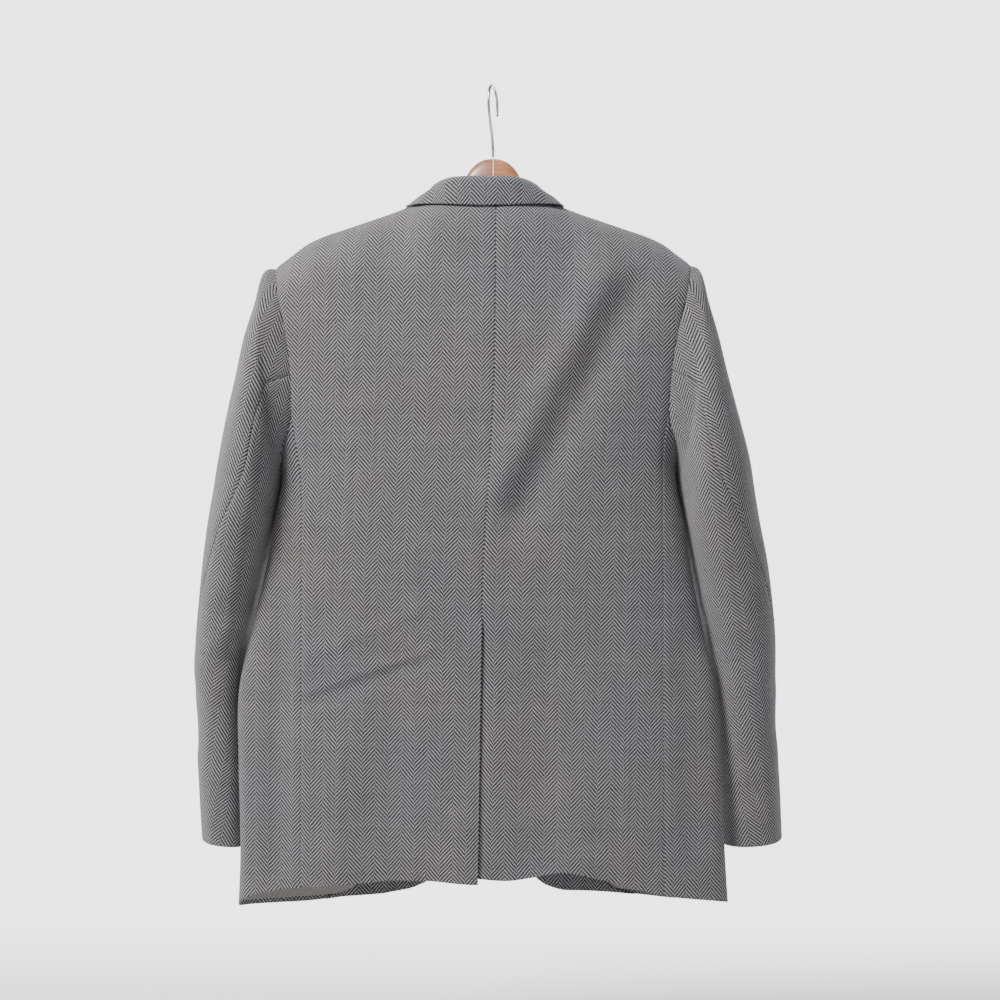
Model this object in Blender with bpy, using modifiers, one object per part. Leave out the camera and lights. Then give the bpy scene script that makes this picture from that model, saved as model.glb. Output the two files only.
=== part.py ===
"""A single-breasted tweed jacket hanging on a wooden coat hanger.

Metres, +Z up. The origin is the inside top of the hanger's hook, where a rail or a wall hook
carries it. The jacket's front faces -Y, its back faces +Y and the wearer's left is +X.
The jacket's own pieces are worked out about its middle line, which hangs a little to one side
of the hook, and an empty carries them there.
"""

import math

import bmesh
import bpy
import numpy as np
from mathutils import Vector

# ---------------------------------------------------------------- driving sizes
JACKET_X = 0.009  # the jacket's middle line, from the hook
CLOTH = 0.0020  # tweed with its canvas
FACING = 0.0016
LINING = 0.0010
HALF_GAP = 0.0002  # each piece stops this far short of its seam
LAYER = 0.0004  # air between two layers

MIDDLE_Y = -0.006  # the plane between back and front
AXIS_X = 0.0025  # side seams and front edges are set out from this line
SHOULDER_ROUND = 0.060  # height over which the cloth turns over the shoulder
SHOULDER_FORWARD = 0.010  # how far the shoulder end comes forward
SHOULDER_X = 0.2405  # shoulder seam, from neck point ...
NECK_X = 0.072  # ... to shoulder end
NECK_DIP = 0.026  # how far the back neck dips under the line of the shoulders

BACK_TOP = -0.375  # side-back seam meets the armhole
FRONT_TOP = -0.395  # underarm seam meets the armhole
ARMHOLE_DIP = 0.052  # bottom of the armhole, under those two

VENT_TOP = -0.6062  # centre vent
VENT_UNDERLAP = 0.035
VENT_DROP = CLOTH + 2 * LAYER
VENT_STEP = 0.006  # the under side steps in over this width

FRONT_LAP = 0.018  # each front passes the middle by this much
LAP_DROP = CLOTH + FACING + 2.5 * LAYER
LAP_STEP = 0.044  # strip beside the front edge that holds the step
BREAK_Z = -0.462  # the lapel starts to roll here
LAPEL_LIFT = 0.0045
ROLL_LIFT = 0.0026
LAPEL_ROLL = 0.0020
GORGE = (0.0605, -0.1780)  # lapel meets collar on the roll line (x, z)
LAPEL_TIP = (0.1320, -0.2200)
LAPEL_BELLY = 0.006
COLLAR_BEND = 0.0022  # half width of the collar's fold
COLLAR_WIDER_RIGHT = 1.06  # its right half reaches out this much further

FLAP_FRONT = (0.0600, -0.6950)  # top edge of the pocket flap, near the front edge (x, z) ...
FLAP_BACK = (0.1960, -0.7300)  # ... and near the side
FLAP_DEPTH = 0.052
FLAP_LEAN = -0.006
FLAP_CORNER = 0.10

BUTTON_Z = (-0.470, -0.565, -0.660)
BUTTON_RADIUS = 0.0100
CUFF_BUTTON_RADIUS = 0.0075
CUFF_BUTTON_PITCH = 0.017
CUFF_BUTTON_START = 0.035  # lowest button above the cuff's edge
CUFF_BUTTON_PLACE = 0.9
CUFF_BUTTON_LIFT = 0.0003

HANGER_UNDER = CLOTH + LAYER + LINING + 0.0026  # the arms lie this far under the shoulder line
HANGER_SIDES = 16
HANGER_ROUND = 0.8  # power of the section: 1 is an oval, lower is squarer
HANGER_SET_BACK = 0.004  # the middle of the hanger stands this far back of its arms
HANGER_BEND = 0.06  # the set-back dies away over this length
HANGER_REACH = NECK_X - 0.02  # from here out, the top edge follows the jacket's shoulder line
WIRE_RADIUS = 0.0018
CROOK_RADIUS = 0.0190
CROOK_TURN = math.radians(15)
CROOK_STEPS = 12
HOOK_FOOT_GAP = 0.0006  # the wire starts this far above the wood
# The wire on its way up to the crook, and past it. distance out, z
HOOK_RISE = (
    (0.0008, -0.0660),
    (0.0050, -0.0540),
    (0.0120, -0.0420),
    (0.0170, -0.0310),
    (0.0188, -0.0235),
)
HOOK_TIP = ((-0.0190, -0.0230), (-0.0184, -0.0290))

# ---------------------------------------------------------------- tables
# Body rings. z, half width, middle x, back y, front y, squareness of the ring
BODY = (
    (-0.960, 0.2840, 0.002, 0.030, -0.046, 2.6),
    (-0.880, 0.2800, 0.003, 0.032, -0.048, 2.6),
    (-0.780, 0.2790, 0.006, 0.034, -0.050, 2.6),
    (-0.690, 0.2750, 0.009, 0.036, -0.052, 2.6),
    (-0.625, 0.2610, 0.009, 0.038, -0.054, 2.6),
    (-0.565, 0.2475, 0.008, 0.041, -0.056, 2.7),
    (-0.500, 0.2365, 0.007, 0.044, -0.060, 2.8),
    (-0.440, 0.2265, 0.007, 0.046, -0.063, 3.0),
    (-0.400, 0.2360, 0.006, 0.047, -0.065, 3.2),
    (-0.350, 0.2560, 0.005, 0.049, -0.067, 3.4),
    (-0.300, 0.2750, 0.004, 0.050, -0.068, 3.5),
    (-0.250, 0.2900, 0.003, 0.049, -0.067, 3.6),
    (-0.190, 0.3000, 0.002, 0.046, -0.060, 3.6),
    (-0.100, 0.3100, 0.001, 0.042, -0.052, 3.6),
)
# Shoulder line. distance from the middle, z
RIDGE = (
    (0.000, -0.1120),
    (0.040, -0.1165),
    (0.075, -0.1310),
    (0.104, -0.1425),
    (0.132, -0.1520),
    (0.160, -0.1612),
    (0.188, -0.1705),
    (0.207, -0.1795),
    (0.222, -0.1905),
    (0.2405, -0.2045),
    (0.260, -0.2230),
)
# Armhole seam. z, distance from the ring's middle
ARMHOLE = (
    (-0.400, 0.2160),
    (-0.365, 0.2145),
    (-0.330, 0.2160),
    (-0.300, 0.2197),
    (-0.270, 0.2255),
    (-0.245, 0.2315),
    (-0.219, 0.2370),
    (-0.2045, 0.2405),
)
# Centre back seam. z, x
CENTRE_SEAM = (
    (-0.960, 0.0085),
    (-0.910, 0.0078),
    (-0.618, 0.0032),
    (-0.542, 0.0015),
    (-0.440, -0.0050),
    (-0.340, -0.0104),
    (-0.140, -0.0127),
)
# Seams down the side, from AXIS_X. z, side-back seam, underarm seam on the front
SIDE_SEAMS = (
    (-0.960, 0.2070, 0.2240),
    (-0.800, 0.2065, 0.2220),
    (-0.700, 0.2062, 0.2200),
    (-0.600, 0.2060, 0.2120),
    (-0.500, 0.2055, 0.2060),
    (-0.440, 0.2065, 0.2070),
    (-0.395, 0.2115, 0.2153),
    (-0.375, 0.2145, 0.2145),
)
# Front edge below the lapel, from AXIS_X. z, x
FRONT_EDGE = (
    (-0.9450, 0.1250),
    (-0.9405, 0.1180),
    (-0.9360, 0.0930),
    (-0.9300, 0.0740),
    (-0.9200, 0.0600),
    (-0.9000, 0.0450),
    (-0.8650, 0.0300),
    (-0.8100, 0.0110),
    (-0.7500, -0.0060),
    (-0.7000, -0.0150),
    (-0.6600, -0.0180),
    (-0.4620, -0.0180),
)
# Hem. place round the half body (0 centre back, 1 and 2 the side seams, 3 front edge), left z, right z
HEM = (
    (0.00, -0.9110, -0.9048),
    (0.15, -0.9093, -0.9070),
    (0.28, -0.9072, -0.9035),
    (0.46, -0.9070, -0.8972),
    (0.64, -0.9105, -0.9045),
    (0.80, -0.9125, -0.9140),
    (1.00, -0.9160, -0.9265),
    (1.20, -0.9270, -0.9340),
    (1.50, -0.9430, -0.9400),
    (1.80, -0.9470, -0.9430),
    (2.00, -0.9475, -0.9430),
    (2.50, -0.9455, -0.9400),
    (3.00, -0.9405, -0.9365),
)
# Largest folds of the back. first end x z, second end x z, half width, depth (troughs are negative)
BACK_FOLDS = (
    (-0.175, -0.250, -0.040, -0.475, 0.026, -0.0030),
    (-0.150, -0.225, -0.010, -0.440, 0.022, 0.0015),
    (0.175, -0.700, 0.085, -0.656, 0.022, -0.0025),
    (0.233, -0.600, 0.240, -0.900, 0.017, -0.0045),
    (-0.236, -0.640, -0.240, -0.880, 0.016, -0.0025),
    (0.101, -0.160, 0.104, -0.182, 0.022, -0.0035),
    (-0.096, -0.165, -0.100, -0.186, 0.022, -0.0030),
    (0.020, -0.905, 0.024, -0.840, 0.020, 0.0025),
    (-0.098, -0.900, -0.095, -0.820, 0.028, 0.0030),
)
# The same for the front, where the cloth falls from the chest to the hem
FRONT_FOLDS = (
    (0.170, -0.250, 0.075, -0.440, 0.026, -0.0025),
    (-0.170, -0.250, -0.075, -0.450, 0.026, -0.0025),
    (0.205, -0.560, 0.195, -0.900, 0.024, -0.0035),
    (-0.200, -0.540, -0.205, -0.880, 0.024, -0.0035),
    (0.110, -0.940, 0.100, -0.820, 0.024, 0.0025),
)
# Sleeve rings. outer z, outer x left, right, inner z, inner x left, right, middle y, half depth
SLEEVE = (
    (-0.2135, 0.2560, 0.2495, -0.445, 0.2370, 0.2235, -0.010, 0.056),
    (-0.2450, 0.2642, 0.2572, -0.450, 0.2380, 0.2245, -0.009, 0.063),
    (-0.2820, 0.2757, 0.2677, -0.457, 0.2392, 0.2255, -0.009, 0.069),
    (-0.3250, 0.2850, 0.2780, -0.467, 0.2408, 0.2272, -0.010, 0.073),
    (-0.3750, 0.2965, 0.2915, -0.482, 0.2432, 0.2300, -0.012, 0.075),
    (-0.4300, 0.3078, 0.3062, -0.503, 0.2472, 0.2335, -0.016, 0.074),
    (-0.4900, 0.3200, 0.3170, -0.536, 0.2545, 0.2390, -0.023, 0.072),
    (-0.5500, 0.3295, 0.3298, -0.582, 0.2645, 0.2470, -0.033, 0.069),
    (-0.6120, 0.3370, 0.3385, -0.634, 0.2735, 0.2560, -0.043, 0.066),
    (-0.6750, 0.3425, 0.3425, -0.689, 0.2790, 0.2640, -0.051, 0.063),
    (-0.7400, 0.3395, 0.3430, -0.749, 0.2775, 0.2690, -0.057, 0.061),
    (-0.8080, 0.3395, 0.3485, -0.812, 0.2740, 0.2725, -0.061, 0.059),
    (-0.8740, 0.3365, 0.3520, -0.880, 0.2720, 0.2750, -0.064, 0.057),
)
SLEEVE_SQUARENESS = 2.3
# Both arm seams turn towards the front on their way down. degrees, then rings from and to
HIND_SEAM = 95
FORE_SEAM = 235
SLEEVE_TWIST = (72, 15, 80)  # mean turn, how much it differs round the sleeve, where it is most
TWIST_RINGS = (4, 10)
# Collar, centre back to its front end. fold x y z, leaf edge x, z and face (1 back, -1 front),
# neck edge x y z
COLLAR = (
    (0.0000, 0.0370, -0.1088, 0.0000, -0.1440, 1, 0.0000, 0.0315, -0.1370),
    (0.0200, 0.0362, -0.1088, 0.0215, -0.1432, 1, 0.0190, 0.0305, -0.1362),
    (0.0380, 0.0320, -0.1095, 0.0440, -0.1420, 1, 0.0360, 0.0270, -0.1345),
    (0.0520, 0.0220, -0.1128, 0.0660, -0.1402, 1, 0.0490, 0.0190, -0.1320),
    (0.0620, 0.0080, -0.1180, 0.0830, -0.1395, 1, 0.0590, 0.0070, -0.1305),
    (0.0670, -0.0080, -0.1215, 0.0920, -0.1400, -1, 0.0635, -0.0080, -0.1320),
    (0.0680, -0.0250, -0.1275, 0.0990, -0.1460, -1, 0.0640, -0.0230, -0.1370),
    (0.0660, -0.0440, -0.1405, 0.1035, -0.1570, -1, 0.0620, -0.0390, -0.1480),
    (0.0635, -0.0575, -0.1560, 0.1050, -0.1720, -1, 0.0595, -0.0510, -0.1640),
    (0.0605, -0.0660, -0.1740, 0.0935, -0.1955, -1, 0.0560, -0.0600, -0.1780),
)
# Hanger half, from its middle joint outwards. x, highest top z, bottom z, thickness
HANGER = (
    (0.0000, -0.0807, -0.1660, 0.0240),
    (0.0120, -0.0830, -0.1665, 0.0240),
    (0.0220, -0.0893, -0.1675, 0.0240),
    (0.0290, -0.0980, -0.1685, 0.0242),
    (0.0335, -0.1080, -0.1690, 0.0244),
    (0.0420, -0.1290, -0.1700, 0.0248),
    (0.0600, -0.1385, -0.1730, 0.0256),
    (0.0850, -0.1385, -0.1780, 0.0270),
    (0.1150, -0.1385, -0.1850, 0.0290),
    (0.1500, -0.1385, -0.1925, 0.0320),
    (0.1850, -0.1385, -0.2010, 0.0350),
    (0.2070, -0.1890, -0.2100, 0.0310),
    (0.2160, -0.1960, -0.2130, 0.0220),
)

# Grid lines. Pieces that lie on each other share them.
HEM_ROWS = (0.0, 0.012, 0.04, 0.10, 0.19, 0.30, 0.41, 0.535, 0.64, 0.74, 0.84, 0.93, 1.0)
VENT_ROWS = HEM_ROWS[:8] + (0.5625, 0.5650) + HEM_ROWS[8:]
TOP_ROWS = (1.0, 1.20, 1.40, 1.60, 1.78, 1.91, 2.0)
BACK_COLUMNS = (0.0, 0.03, 0.16, 0.32, 0.48, 0.64, 0.80, 0.92, 1.0)
SIDE_COLUMNS = (1.0, 1.14, 1.28, 1.42, 1.56, 1.70, 1.85, 2.0)
FRONT_COLUMNS = (2.0, 2.13, 2.27, 2.41, 2.55, 2.68, 2.80, 2.835, 3.0)
FACING_FROM = 4  # the facing takes the front's columns from this one
LAP_FROM = 7  # the right front lies under the left one from this column


# ---------------------------------------------------------------- curves
def curve(keys, values):
    """A smooth function through the rows of a table, which never overshoots them."""
    keys = np.asarray(keys, float)
    values = np.asarray(values, float)
    steps = np.diff(keys)
    slopes = np.diff(values) / steps
    inner = np.where(slopes[1:] * slopes[:-1] > 0, (slopes[1:] + slopes[:-1]) / 2, 0.0)
    limit = 3 * np.minimum(np.abs(slopes[1:]), np.abs(slopes[:-1]))
    inner = np.clip(inner, -limit, limit)
    tangents = np.concatenate([[slopes[0]], inner, [slopes[-1]]])

    def value(at):
        at = np.clip(np.asarray(at, float), keys[0], keys[-1])
        low = np.clip(np.searchsorted(keys, at) - 1, 0, len(steps) - 1)
        step = steps[low]
        part = (at - keys[low]) / step
        square, cube = part**2, part**3
        return (
            (2 * cube - 3 * square + 1) * values[low]
            + (cube - 2 * square + part) * step * tangents[low]
            + (3 * square - 2 * cube) * values[low + 1]
            + (cube - square) * step * tangents[low + 1]
        )

    return value


def columns(table):
    """One curve for each column after the first, which is the key."""
    table = np.array(table, float)
    return [curve(table[:, 0], table[:, place]) for place in range(1, table.shape[1])]


def smooth_step(value, start, end):
    part = np.clip((value - start) / (end - start), 0, 1)
    return part * part * (3 - 2 * part)


def mix(start, end, part):
    return start + (end - start) * part


half_width, ring_x, back_y, front_y, squareness = columns(BODY)
(ridge_z,) = columns(RIDGE)
(armhole_x,) = columns(ARMHOLE)
(centre_seam_x,) = columns(CENTRE_SEAM)
side_back_x, underarm_x = columns(SIDE_SEAMS)
(front_edge_x,) = columns(FRONT_EDGE)
hem_left, hem_right = columns(HEM)


# ---------------------------------------------------------------- the form that the cloth takes
def folds(table, x, z):
    """Soft troughs and ridges along short lines, fading out at both ends."""
    total = np.zeros(np.broadcast(x, z).shape)
    for start_x, start_z, end_x, end_z, half, depth in table:
        along = np.array([end_x - start_x, end_z - start_z])
        length = np.hypot(*along)
        along = along / length
        place = (x - start_x) * along[0] + (z - start_z) * along[1]
        aside = (x - start_x) * along[1] - (z - start_z) * along[0]
        past = np.maximum(np.abs(place - length / 2) - length / 2, 0)
        total = total + depth * np.exp(-(aside**2 + past**2) / half**2)
    return total


def outline(face, x, z):
    """Depth of the form here without its folds, and the share of the ring's depth left to it."""
    across = np.clip(np.abs(x - ring_x(z)) / half_width(z), 0, 1)
    power = squareness(z)
    ring = (1 - across**power) ** (1 / power)
    turn = np.clip((ridge_z(np.abs(x)) - z) / SHOULDER_ROUND, 0, 1)
    turn = np.sqrt(1 - (1 - turn) ** 2)
    deep = np.where(face > 0, back_y(z) - MIDDLE_Y, MIDDLE_Y - front_y(z))
    return deep * ring * turn, ring * turn


def middle_y(x, z):
    forward = SHOULDER_FORWARD * (x / SHOULDER_X) ** 2
    return MIDDLE_Y - forward * smooth_step(z, -0.50, -0.25)


def sheet(face, x, z):
    """Points of the back (face 1) or the front (face -1) at x and z."""
    deep, share = outline(face, x, z)
    fold = np.where(face > 0, folds(BACK_FOLDS, x, z), folds(FRONT_FOLDS, x, z))
    y = middle_y(x, z) + face * (deep + fold * share)
    return np.stack(np.broadcast_arrays(x, y, z), axis=-1)


def level(face, x, y, z):
    """Zero on the form and positive outside it, with no edge at the shoulder line or the sides."""
    fold = np.where(face > 0, folds(BACK_FOLDS, x, z), folds(FRONT_FOLDS, x, z))
    deep, share = outline(face, x, z)
    ring_deep = np.where(face > 0, back_y(z) - MIDDLE_Y, MIDDLE_Y - front_y(z))
    out = np.abs(face * (y - middle_y(x, z)) - fold * share) / ring_deep
    across = np.abs(x - ring_x(z)) / half_width(z)
    power = squareness(z)
    rise = (ridge_z(np.abs(x)) - z) / SHOULDER_ROUND
    low = across**power + out**power - 1
    ring = np.clip(1 - across**power, 1e-9, 1) ** (1 / power)
    high = (out / ring) ** 2 + (1 - rise) ** 2 - 1
    return np.where(rise < 1, high, low)


def outward(face, points):
    """Unit normals of the form at its own points."""
    step = 2e-5
    x, y, z = points[..., 0], points[..., 1], points[..., 2]
    slope = np.stack(
        [
            level(face, x + step, y, z) - level(face, x - step, y, z),
            level(face, x, y + step, z) - level(face, x, y - step, z),
            level(face, x, y, z + step) - level(face, x, y, z - step),
        ],
        axis=-1,
    )
    return slope / np.linalg.norm(slope, axis=-1, keepdims=True)


def seam_axis(z):
    """Side seams hang straight, and swing to the ring's middle where they meet the armhole."""
    return mix(AXIS_X, ring_x(z), smooth_step(z, -0.46, -0.39))


def neck_z(x):
    inside = np.clip(np.abs(x - AXIS_X) / NECK_X, 0, 1)
    return ridge_z(np.abs(x)) - NECK_DIP * (1 - inside**2)


def rise_of(row):
    """Share of the height from the armhole's foot to the shoulder, closer together at the top."""
    return 1 - (1 - np.clip(row - 1, 0, 1)) ** 1.6


def edge_x(z):
    """Front edge and, above the break, the roll line of the lapel, from AXIS_X."""
    roll = mix(-FRONT_LAP, NECK_X, (z - BREAK_Z) / (ridge_z(NECK_X) - BREAK_Z))
    return np.where(z > BREAK_Z, roll, front_edge_x(z))


def front_share(place):
    """Share of the way from underarm seam to the inner strip, and then to the front edge."""
    return np.clip((place - 2) / 0.8, 0, 1), np.clip((place - 2.8) / 0.2, 0, 1)


def top_of(place):
    """Height of the foot of the armhole round the body."""
    part = np.clip(place - 1, 0, 1)
    dip = ARMHOLE_DIP * np.sqrt(np.sin(np.pi * part))
    return mix(BACK_TOP, FRONT_TOP, part) - dip


def back_grid(side, place, row):
    hem = hem_left(place) if side > 0 else hem_right(place)
    rise = rise_of(row)
    low = np.minimum(row, 1)
    end_z = mix(BACK_TOP, ridge_z(SHOULDER_X), rise)
    middle_top = mix(BACK_TOP, neck_z(np.array(AXIS_X)), rise)
    top_x = mix(centre_seam_x(-0.14), ring_x(-0.2) + side * SHOULDER_X, place)
    high_z = mix(BACK_TOP, neck_z(top_x), rise)
    z = np.where(row > 1, high_z, mix(hem, BACK_TOP, low))
    low_x = mix(centre_seam_x(z), seam_axis(z) + side * side_back_x(z), place)
    high_x = mix(centre_seam_x(middle_top), ring_x(end_z) + side * armhole_x(end_z), place)
    return 1.0, np.where(row > 1, high_x, low_x), z


def front_grid(side, place, row):
    hem = hem_left(place) if side > 0 else hem_right(place)
    rise = rise_of(row)
    low = np.minimum(row, 1)
    outer, inner = front_share(place)
    neck = AXIS_X + side * NECK_X
    shoulder = ring_x(-0.2) + side * SHOULDER_X
    top_x = mix(mix(shoulder, neck + side * LAP_STEP, outer), neck, inner)
    z = np.where(row > 1, mix(FRONT_TOP, ridge_z(np.abs(top_x)), rise), mix(hem, FRONT_TOP, low))
    end_z = mix(FRONT_TOP, ridge_z(SHOULDER_X), rise)
    edge_z = mix(FRONT_TOP, ridge_z(NECK_X), rise)
    first_low = seam_axis(z) + side * underarm_x(z)
    first = np.where(row > 1, ring_x(end_z) + side * armhole_x(end_z), first_low)
    last = AXIS_X + side * np.where(row > 1, edge_x(edge_z), edge_x(z))
    x = mix(mix(first, last + side * LAP_STEP, outer), last, inner)
    return -1.0, x, z


def side_points(side, place, row):
    """The side panel runs round the ring from the side-back seam to the underarm seam."""
    hem = hem_left(place) if side > 0 else hem_right(place)
    z = mix(hem, top_of(place), np.minimum(row, 1))
    angles = []
    for face, seam in ((1, side_back_x), (-1, underarm_x)):
        x = np.abs(seam_axis(z) + side * seam(z) - ring_x(z)) / half_width(z)
        y = (1 - np.clip(x, 0, 1) ** squareness(z)) ** (1 / squareness(z))
        angles.append(face * np.arctan2(y, x))
    angle = mix(angles[0], angles[1], place - 1)
    power = squareness(z)
    reach = (np.abs(np.cos(angle)) ** power + np.abs(np.sin(angle)) ** power) ** (1 / power)
    x = ring_x(z) + side * half_width(z) * np.cos(angle) / reach
    face = np.where(angle >= 0, 1.0, -1.0)
    deep = np.where(face > 0, back_y(z) - MIDDLE_Y, MIDDLE_Y - front_y(z))
    share = np.abs(np.sin(angle)) / reach
    fold = np.where(face > 0, folds(BACK_FOLDS, x, z), folds(FRONT_FOLDS, x, z))
    y = middle_y(x, z) + face * (deep * share + fold * share)
    return face, np.stack([x, y, z], axis=-1)


def body_grid(side, places, rows):
    """Points and normals of the half body at each row and place of a panel."""
    place, row = np.meshgrid(np.array(places, float), np.array(rows, float))
    if place.max() <= 1:
        face, x, z = back_grid(side, place, row)
        points = sheet(face, x, z)
    elif place.min() >= 2:
        face, x, z = front_grid(side, place, row)
        points = sheet(face, x, z)
    else:
        face, points = side_points(side, place, row)
    return points, outward(face, points)


# ---------------------------------------------------------------- scene and mesh helpers
def clear_scene():
    for item in list(bpy.data.objects):
        bpy.data.objects.remove(item, do_unlink=True)


def finish(name, colour, roughness, metallic=0.0):
    material = bpy.data.materials.new(name)
    material.use_nodes = True
    shader = material.node_tree.nodes["Principled BSDF"]
    shader.inputs["Base Color"].default_value = (*colour, 1)
    shader.inputs["Roughness"].default_value = roughness
    shader.inputs["Metallic"].default_value = metallic
    return material


def add_object(name, mesh, material, parent=None):
    piece = bpy.data.objects.new(name, mesh)
    mesh.materials.append(material)
    bpy.data.collections["tweed_jacket"].objects.link(piece)
    piece.parent = parent
    return piece


def inset(points, edges):
    """Draws the named edges of a grid in by half a seam gap, towards the next line."""
    moved = points.copy()
    sides = {
        "first": (np.s_[:, 0], np.s_[:, 1]),
        "last": (np.s_[:, -1], np.s_[:, -2]),
        "bottom": (np.s_[0], np.s_[1]),
        "top": (np.s_[-1], np.s_[-2]),
    }
    for edge in edges:
        line, next_line = sides[edge]
        run = points[next_line] - points[line]
        moved[line] += HALF_GAP * run / np.linalg.norm(run, axis=-1, keepdims=True)
    return moved


SEAMS = ("first", "last", "top")


def shell(name, points, normals, thickness, material, parent, lift=0.0, edges=SEAMS):
    """A wall of cloth: the grid's own faces outside, and the same faces moved in by its thickness."""
    outer = inset(points, edges) + normals * lift
    inner = outer - normals * thickness
    rows, places = points.shape[:2]
    shape = bmesh.new()
    bmesh.ops.create_grid(shape, x_segments=places - 1, y_segments=rows - 1, size=0.5)
    shape.verts.ensure_lookup_table()
    ordered = sorted(shape.verts, key=lambda v: (round(v.co.y, 5), round(v.co.x, 5)))
    front_faces = list(shape.faces)
    copy = bmesh.ops.duplicate(shape, geom=list(shape.verts) + list(shape.edges) + front_faces)
    twin = copy["vert_map"]
    inner_verts = [twin[vertex] for vertex in ordered]
    for vertex, place in zip(ordered, outer.reshape(-1, 3)):
        vertex.co = place
    for vertex, place in zip(inner_verts, inner.reshape(-1, 3)):
        vertex.co = place
    rim = [edge for edge in shape.edges if edge.is_boundary]
    bmesh.ops.bridge_loops(shape, edges=rim)
    bmesh.ops.recalc_face_normals(shape, faces=list(shape.faces))
    bmesh.ops.triangulate(shape, faces=list(shape.faces), quad_method="SHORT_EDGE")
    mesh = bpy.data.meshes.new(name)
    shape.to_mesh(mesh)
    shape.free()
    return add_object(name, mesh, material, parent)


# ---------------------------------------------------------------- body pieces
def side_name(side):
    return "left" if side > 0 else "right"


def back_panel(side, tweed, parent):
    """Half of the back. The left one laps over the right one at the vent."""
    name = "back_" + side_name(side)
    if side > 0:
        points, normals = body_grid(side, BACK_COLUMNS, HEM_ROWS + TOP_ROWS[1:])
        return shell(name, points, normals, CLOTH, tweed, parent)
    places = (0.0, 0.013) + BACK_COLUMNS[1:]
    points, normals = body_grid(side, places, VENT_ROWS + TOP_ROWS[1:])
    seam = centre_seam_x(points[:, 0, 2])
    dropped = smooth_step(VENT_TOP - points[:, 0, 2], -0.0004, 0.0004)
    reach = smooth_step(VENT_TOP - points[:, 0, 2], 0.0008, 0.0150)
    for place, x_shift in ((0, VENT_UNDERLAP), (1, -0.0006)):
        x = mix(points[:, place, 0], seam + x_shift, reach)
        z = points[:, place, 2]
        points[:, place] = sheet(1.0, x, z)
        normals[:, place] = outward(1.0, points[:, place])
        points[:, place] -= normals[:, place] * (VENT_DROP * dropped)[:, None]
    return shell(name, points, normals, CLOTH, tweed, parent)


def front_panel(side, tweed, parent):
    rows = HEM_ROWS + TOP_ROWS[1:]
    points, normals = front_with_lap(side, FRONT_COLUMNS, rows)
    return shell("front_" + side_name(side), points, normals, CLOTH, tweed, parent)


def front_with_lap(side, places, rows):
    """Points of a front. The right front steps in where the left one lies over it."""
    points, normals = body_grid(side, places, rows)
    if side < 0:
        lapped = 1 - smooth_step(edge_x(points[..., 2]), 0.009, 0.020)
        stepped = np.array(places) >= FRONT_COLUMNS[LAP_FROM]
        points = points - normals * (LAP_DROP * lapped * stepped)[..., None]
    return points, normals


def body_pieces(tweed, silk, parent):
    for side in (1, -1):
        name = side_name(side)
        back_panel(side, tweed, parent)
        points, normals = body_grid(side, SIDE_COLUMNS, HEM_ROWS)
        shell("side_" + name, points, normals, CLOTH, tweed, parent)
        front_panel(side, tweed, parent)
        rows = HEM_ROWS + TOP_ROWS[1:]
        below = -(CLOTH + LAYER)
        points, normals = front_with_lap(side, FRONT_COLUMNS[FACING_FROM:], rows)
        shell("facing_" + name, points, normals, FACING, tweed, parent, lift=below)
        lined = HEM_ROWS[1:] + TOP_ROWS[1:]
        points, normals = body_grid(side, FRONT_COLUMNS[: FACING_FROM + 1], lined)
        shell("lining_front_" + name, points, normals, LINING, silk, parent, lift=below)
        points, normals = body_grid(side, SIDE_COLUMNS, HEM_ROWS[1:])
        shell("lining_side_" + name, points, normals, LINING, silk, parent, lift=below)
        places = (0.0,) + BACK_COLUMNS[3 if side > 0 else 2 :]
        points, normals = back_lining_grid(side, places, lined)
        shell("lining_back_" + name, points, normals, LINING, silk, parent, lift=below)


def back_lining_grid(side, places, rows):
    """The back lining keeps clear of the vent's under side."""
    points, normals = body_grid(side, places, rows)
    seam = centre_seam_x(points[:, 0, 2])
    open_here = smooth_step(VENT_TOP - points[:, 0, 2], -0.060, -0.030)
    clear = mix(0.0006, VENT_UNDERLAP + 0.004 if side > 0 else VENT_STEP + 0.002, open_here)
    x = seam + side * clear
    points[:, 0] = sheet(1.0, x, points[:, 0, 2])
    normals[:, 0] = outward(1.0, points[:, 0])
    return points, normals


# ---------------------------------------------------------------- sleeves
def armhole_loop(side):
    """Armhole seam from the shoulder down the back, under the arm and up the front."""
    rows = TOP_ROWS
    back_points, back_normals = body_grid(side, BACK_COLUMNS, rows)
    side_edge, side_normals = body_grid(side, SIDE_COLUMNS, (0.9, 1.0))
    front_points, front_normals = body_grid(side, FRONT_COLUMNS, rows)
    points = np.concatenate([back_points[::-1, -1], side_edge[1, 1:-1], front_points[:-1, 0]])
    normals = np.concatenate([back_normals[::-1, -1], side_normals[1, 1:-1], front_normals[:-1, 0]])
    return points, normals


def sleeve_angles(loop):
    """Angle round the sleeve of each point of the armhole: 0 at the shoulder, half a turn at the foot."""
    z = loop[:, 2]
    low = int(np.argmin(z))
    share = (z - (z[0] + z[low]) / 2) / ((z[0] - z[low]) / 2)
    angle = np.arccos(np.clip(share, -1, 1))
    angle[low + 1 :] = 2 * np.pi - angle[low + 1 :]
    return angle, low


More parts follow.
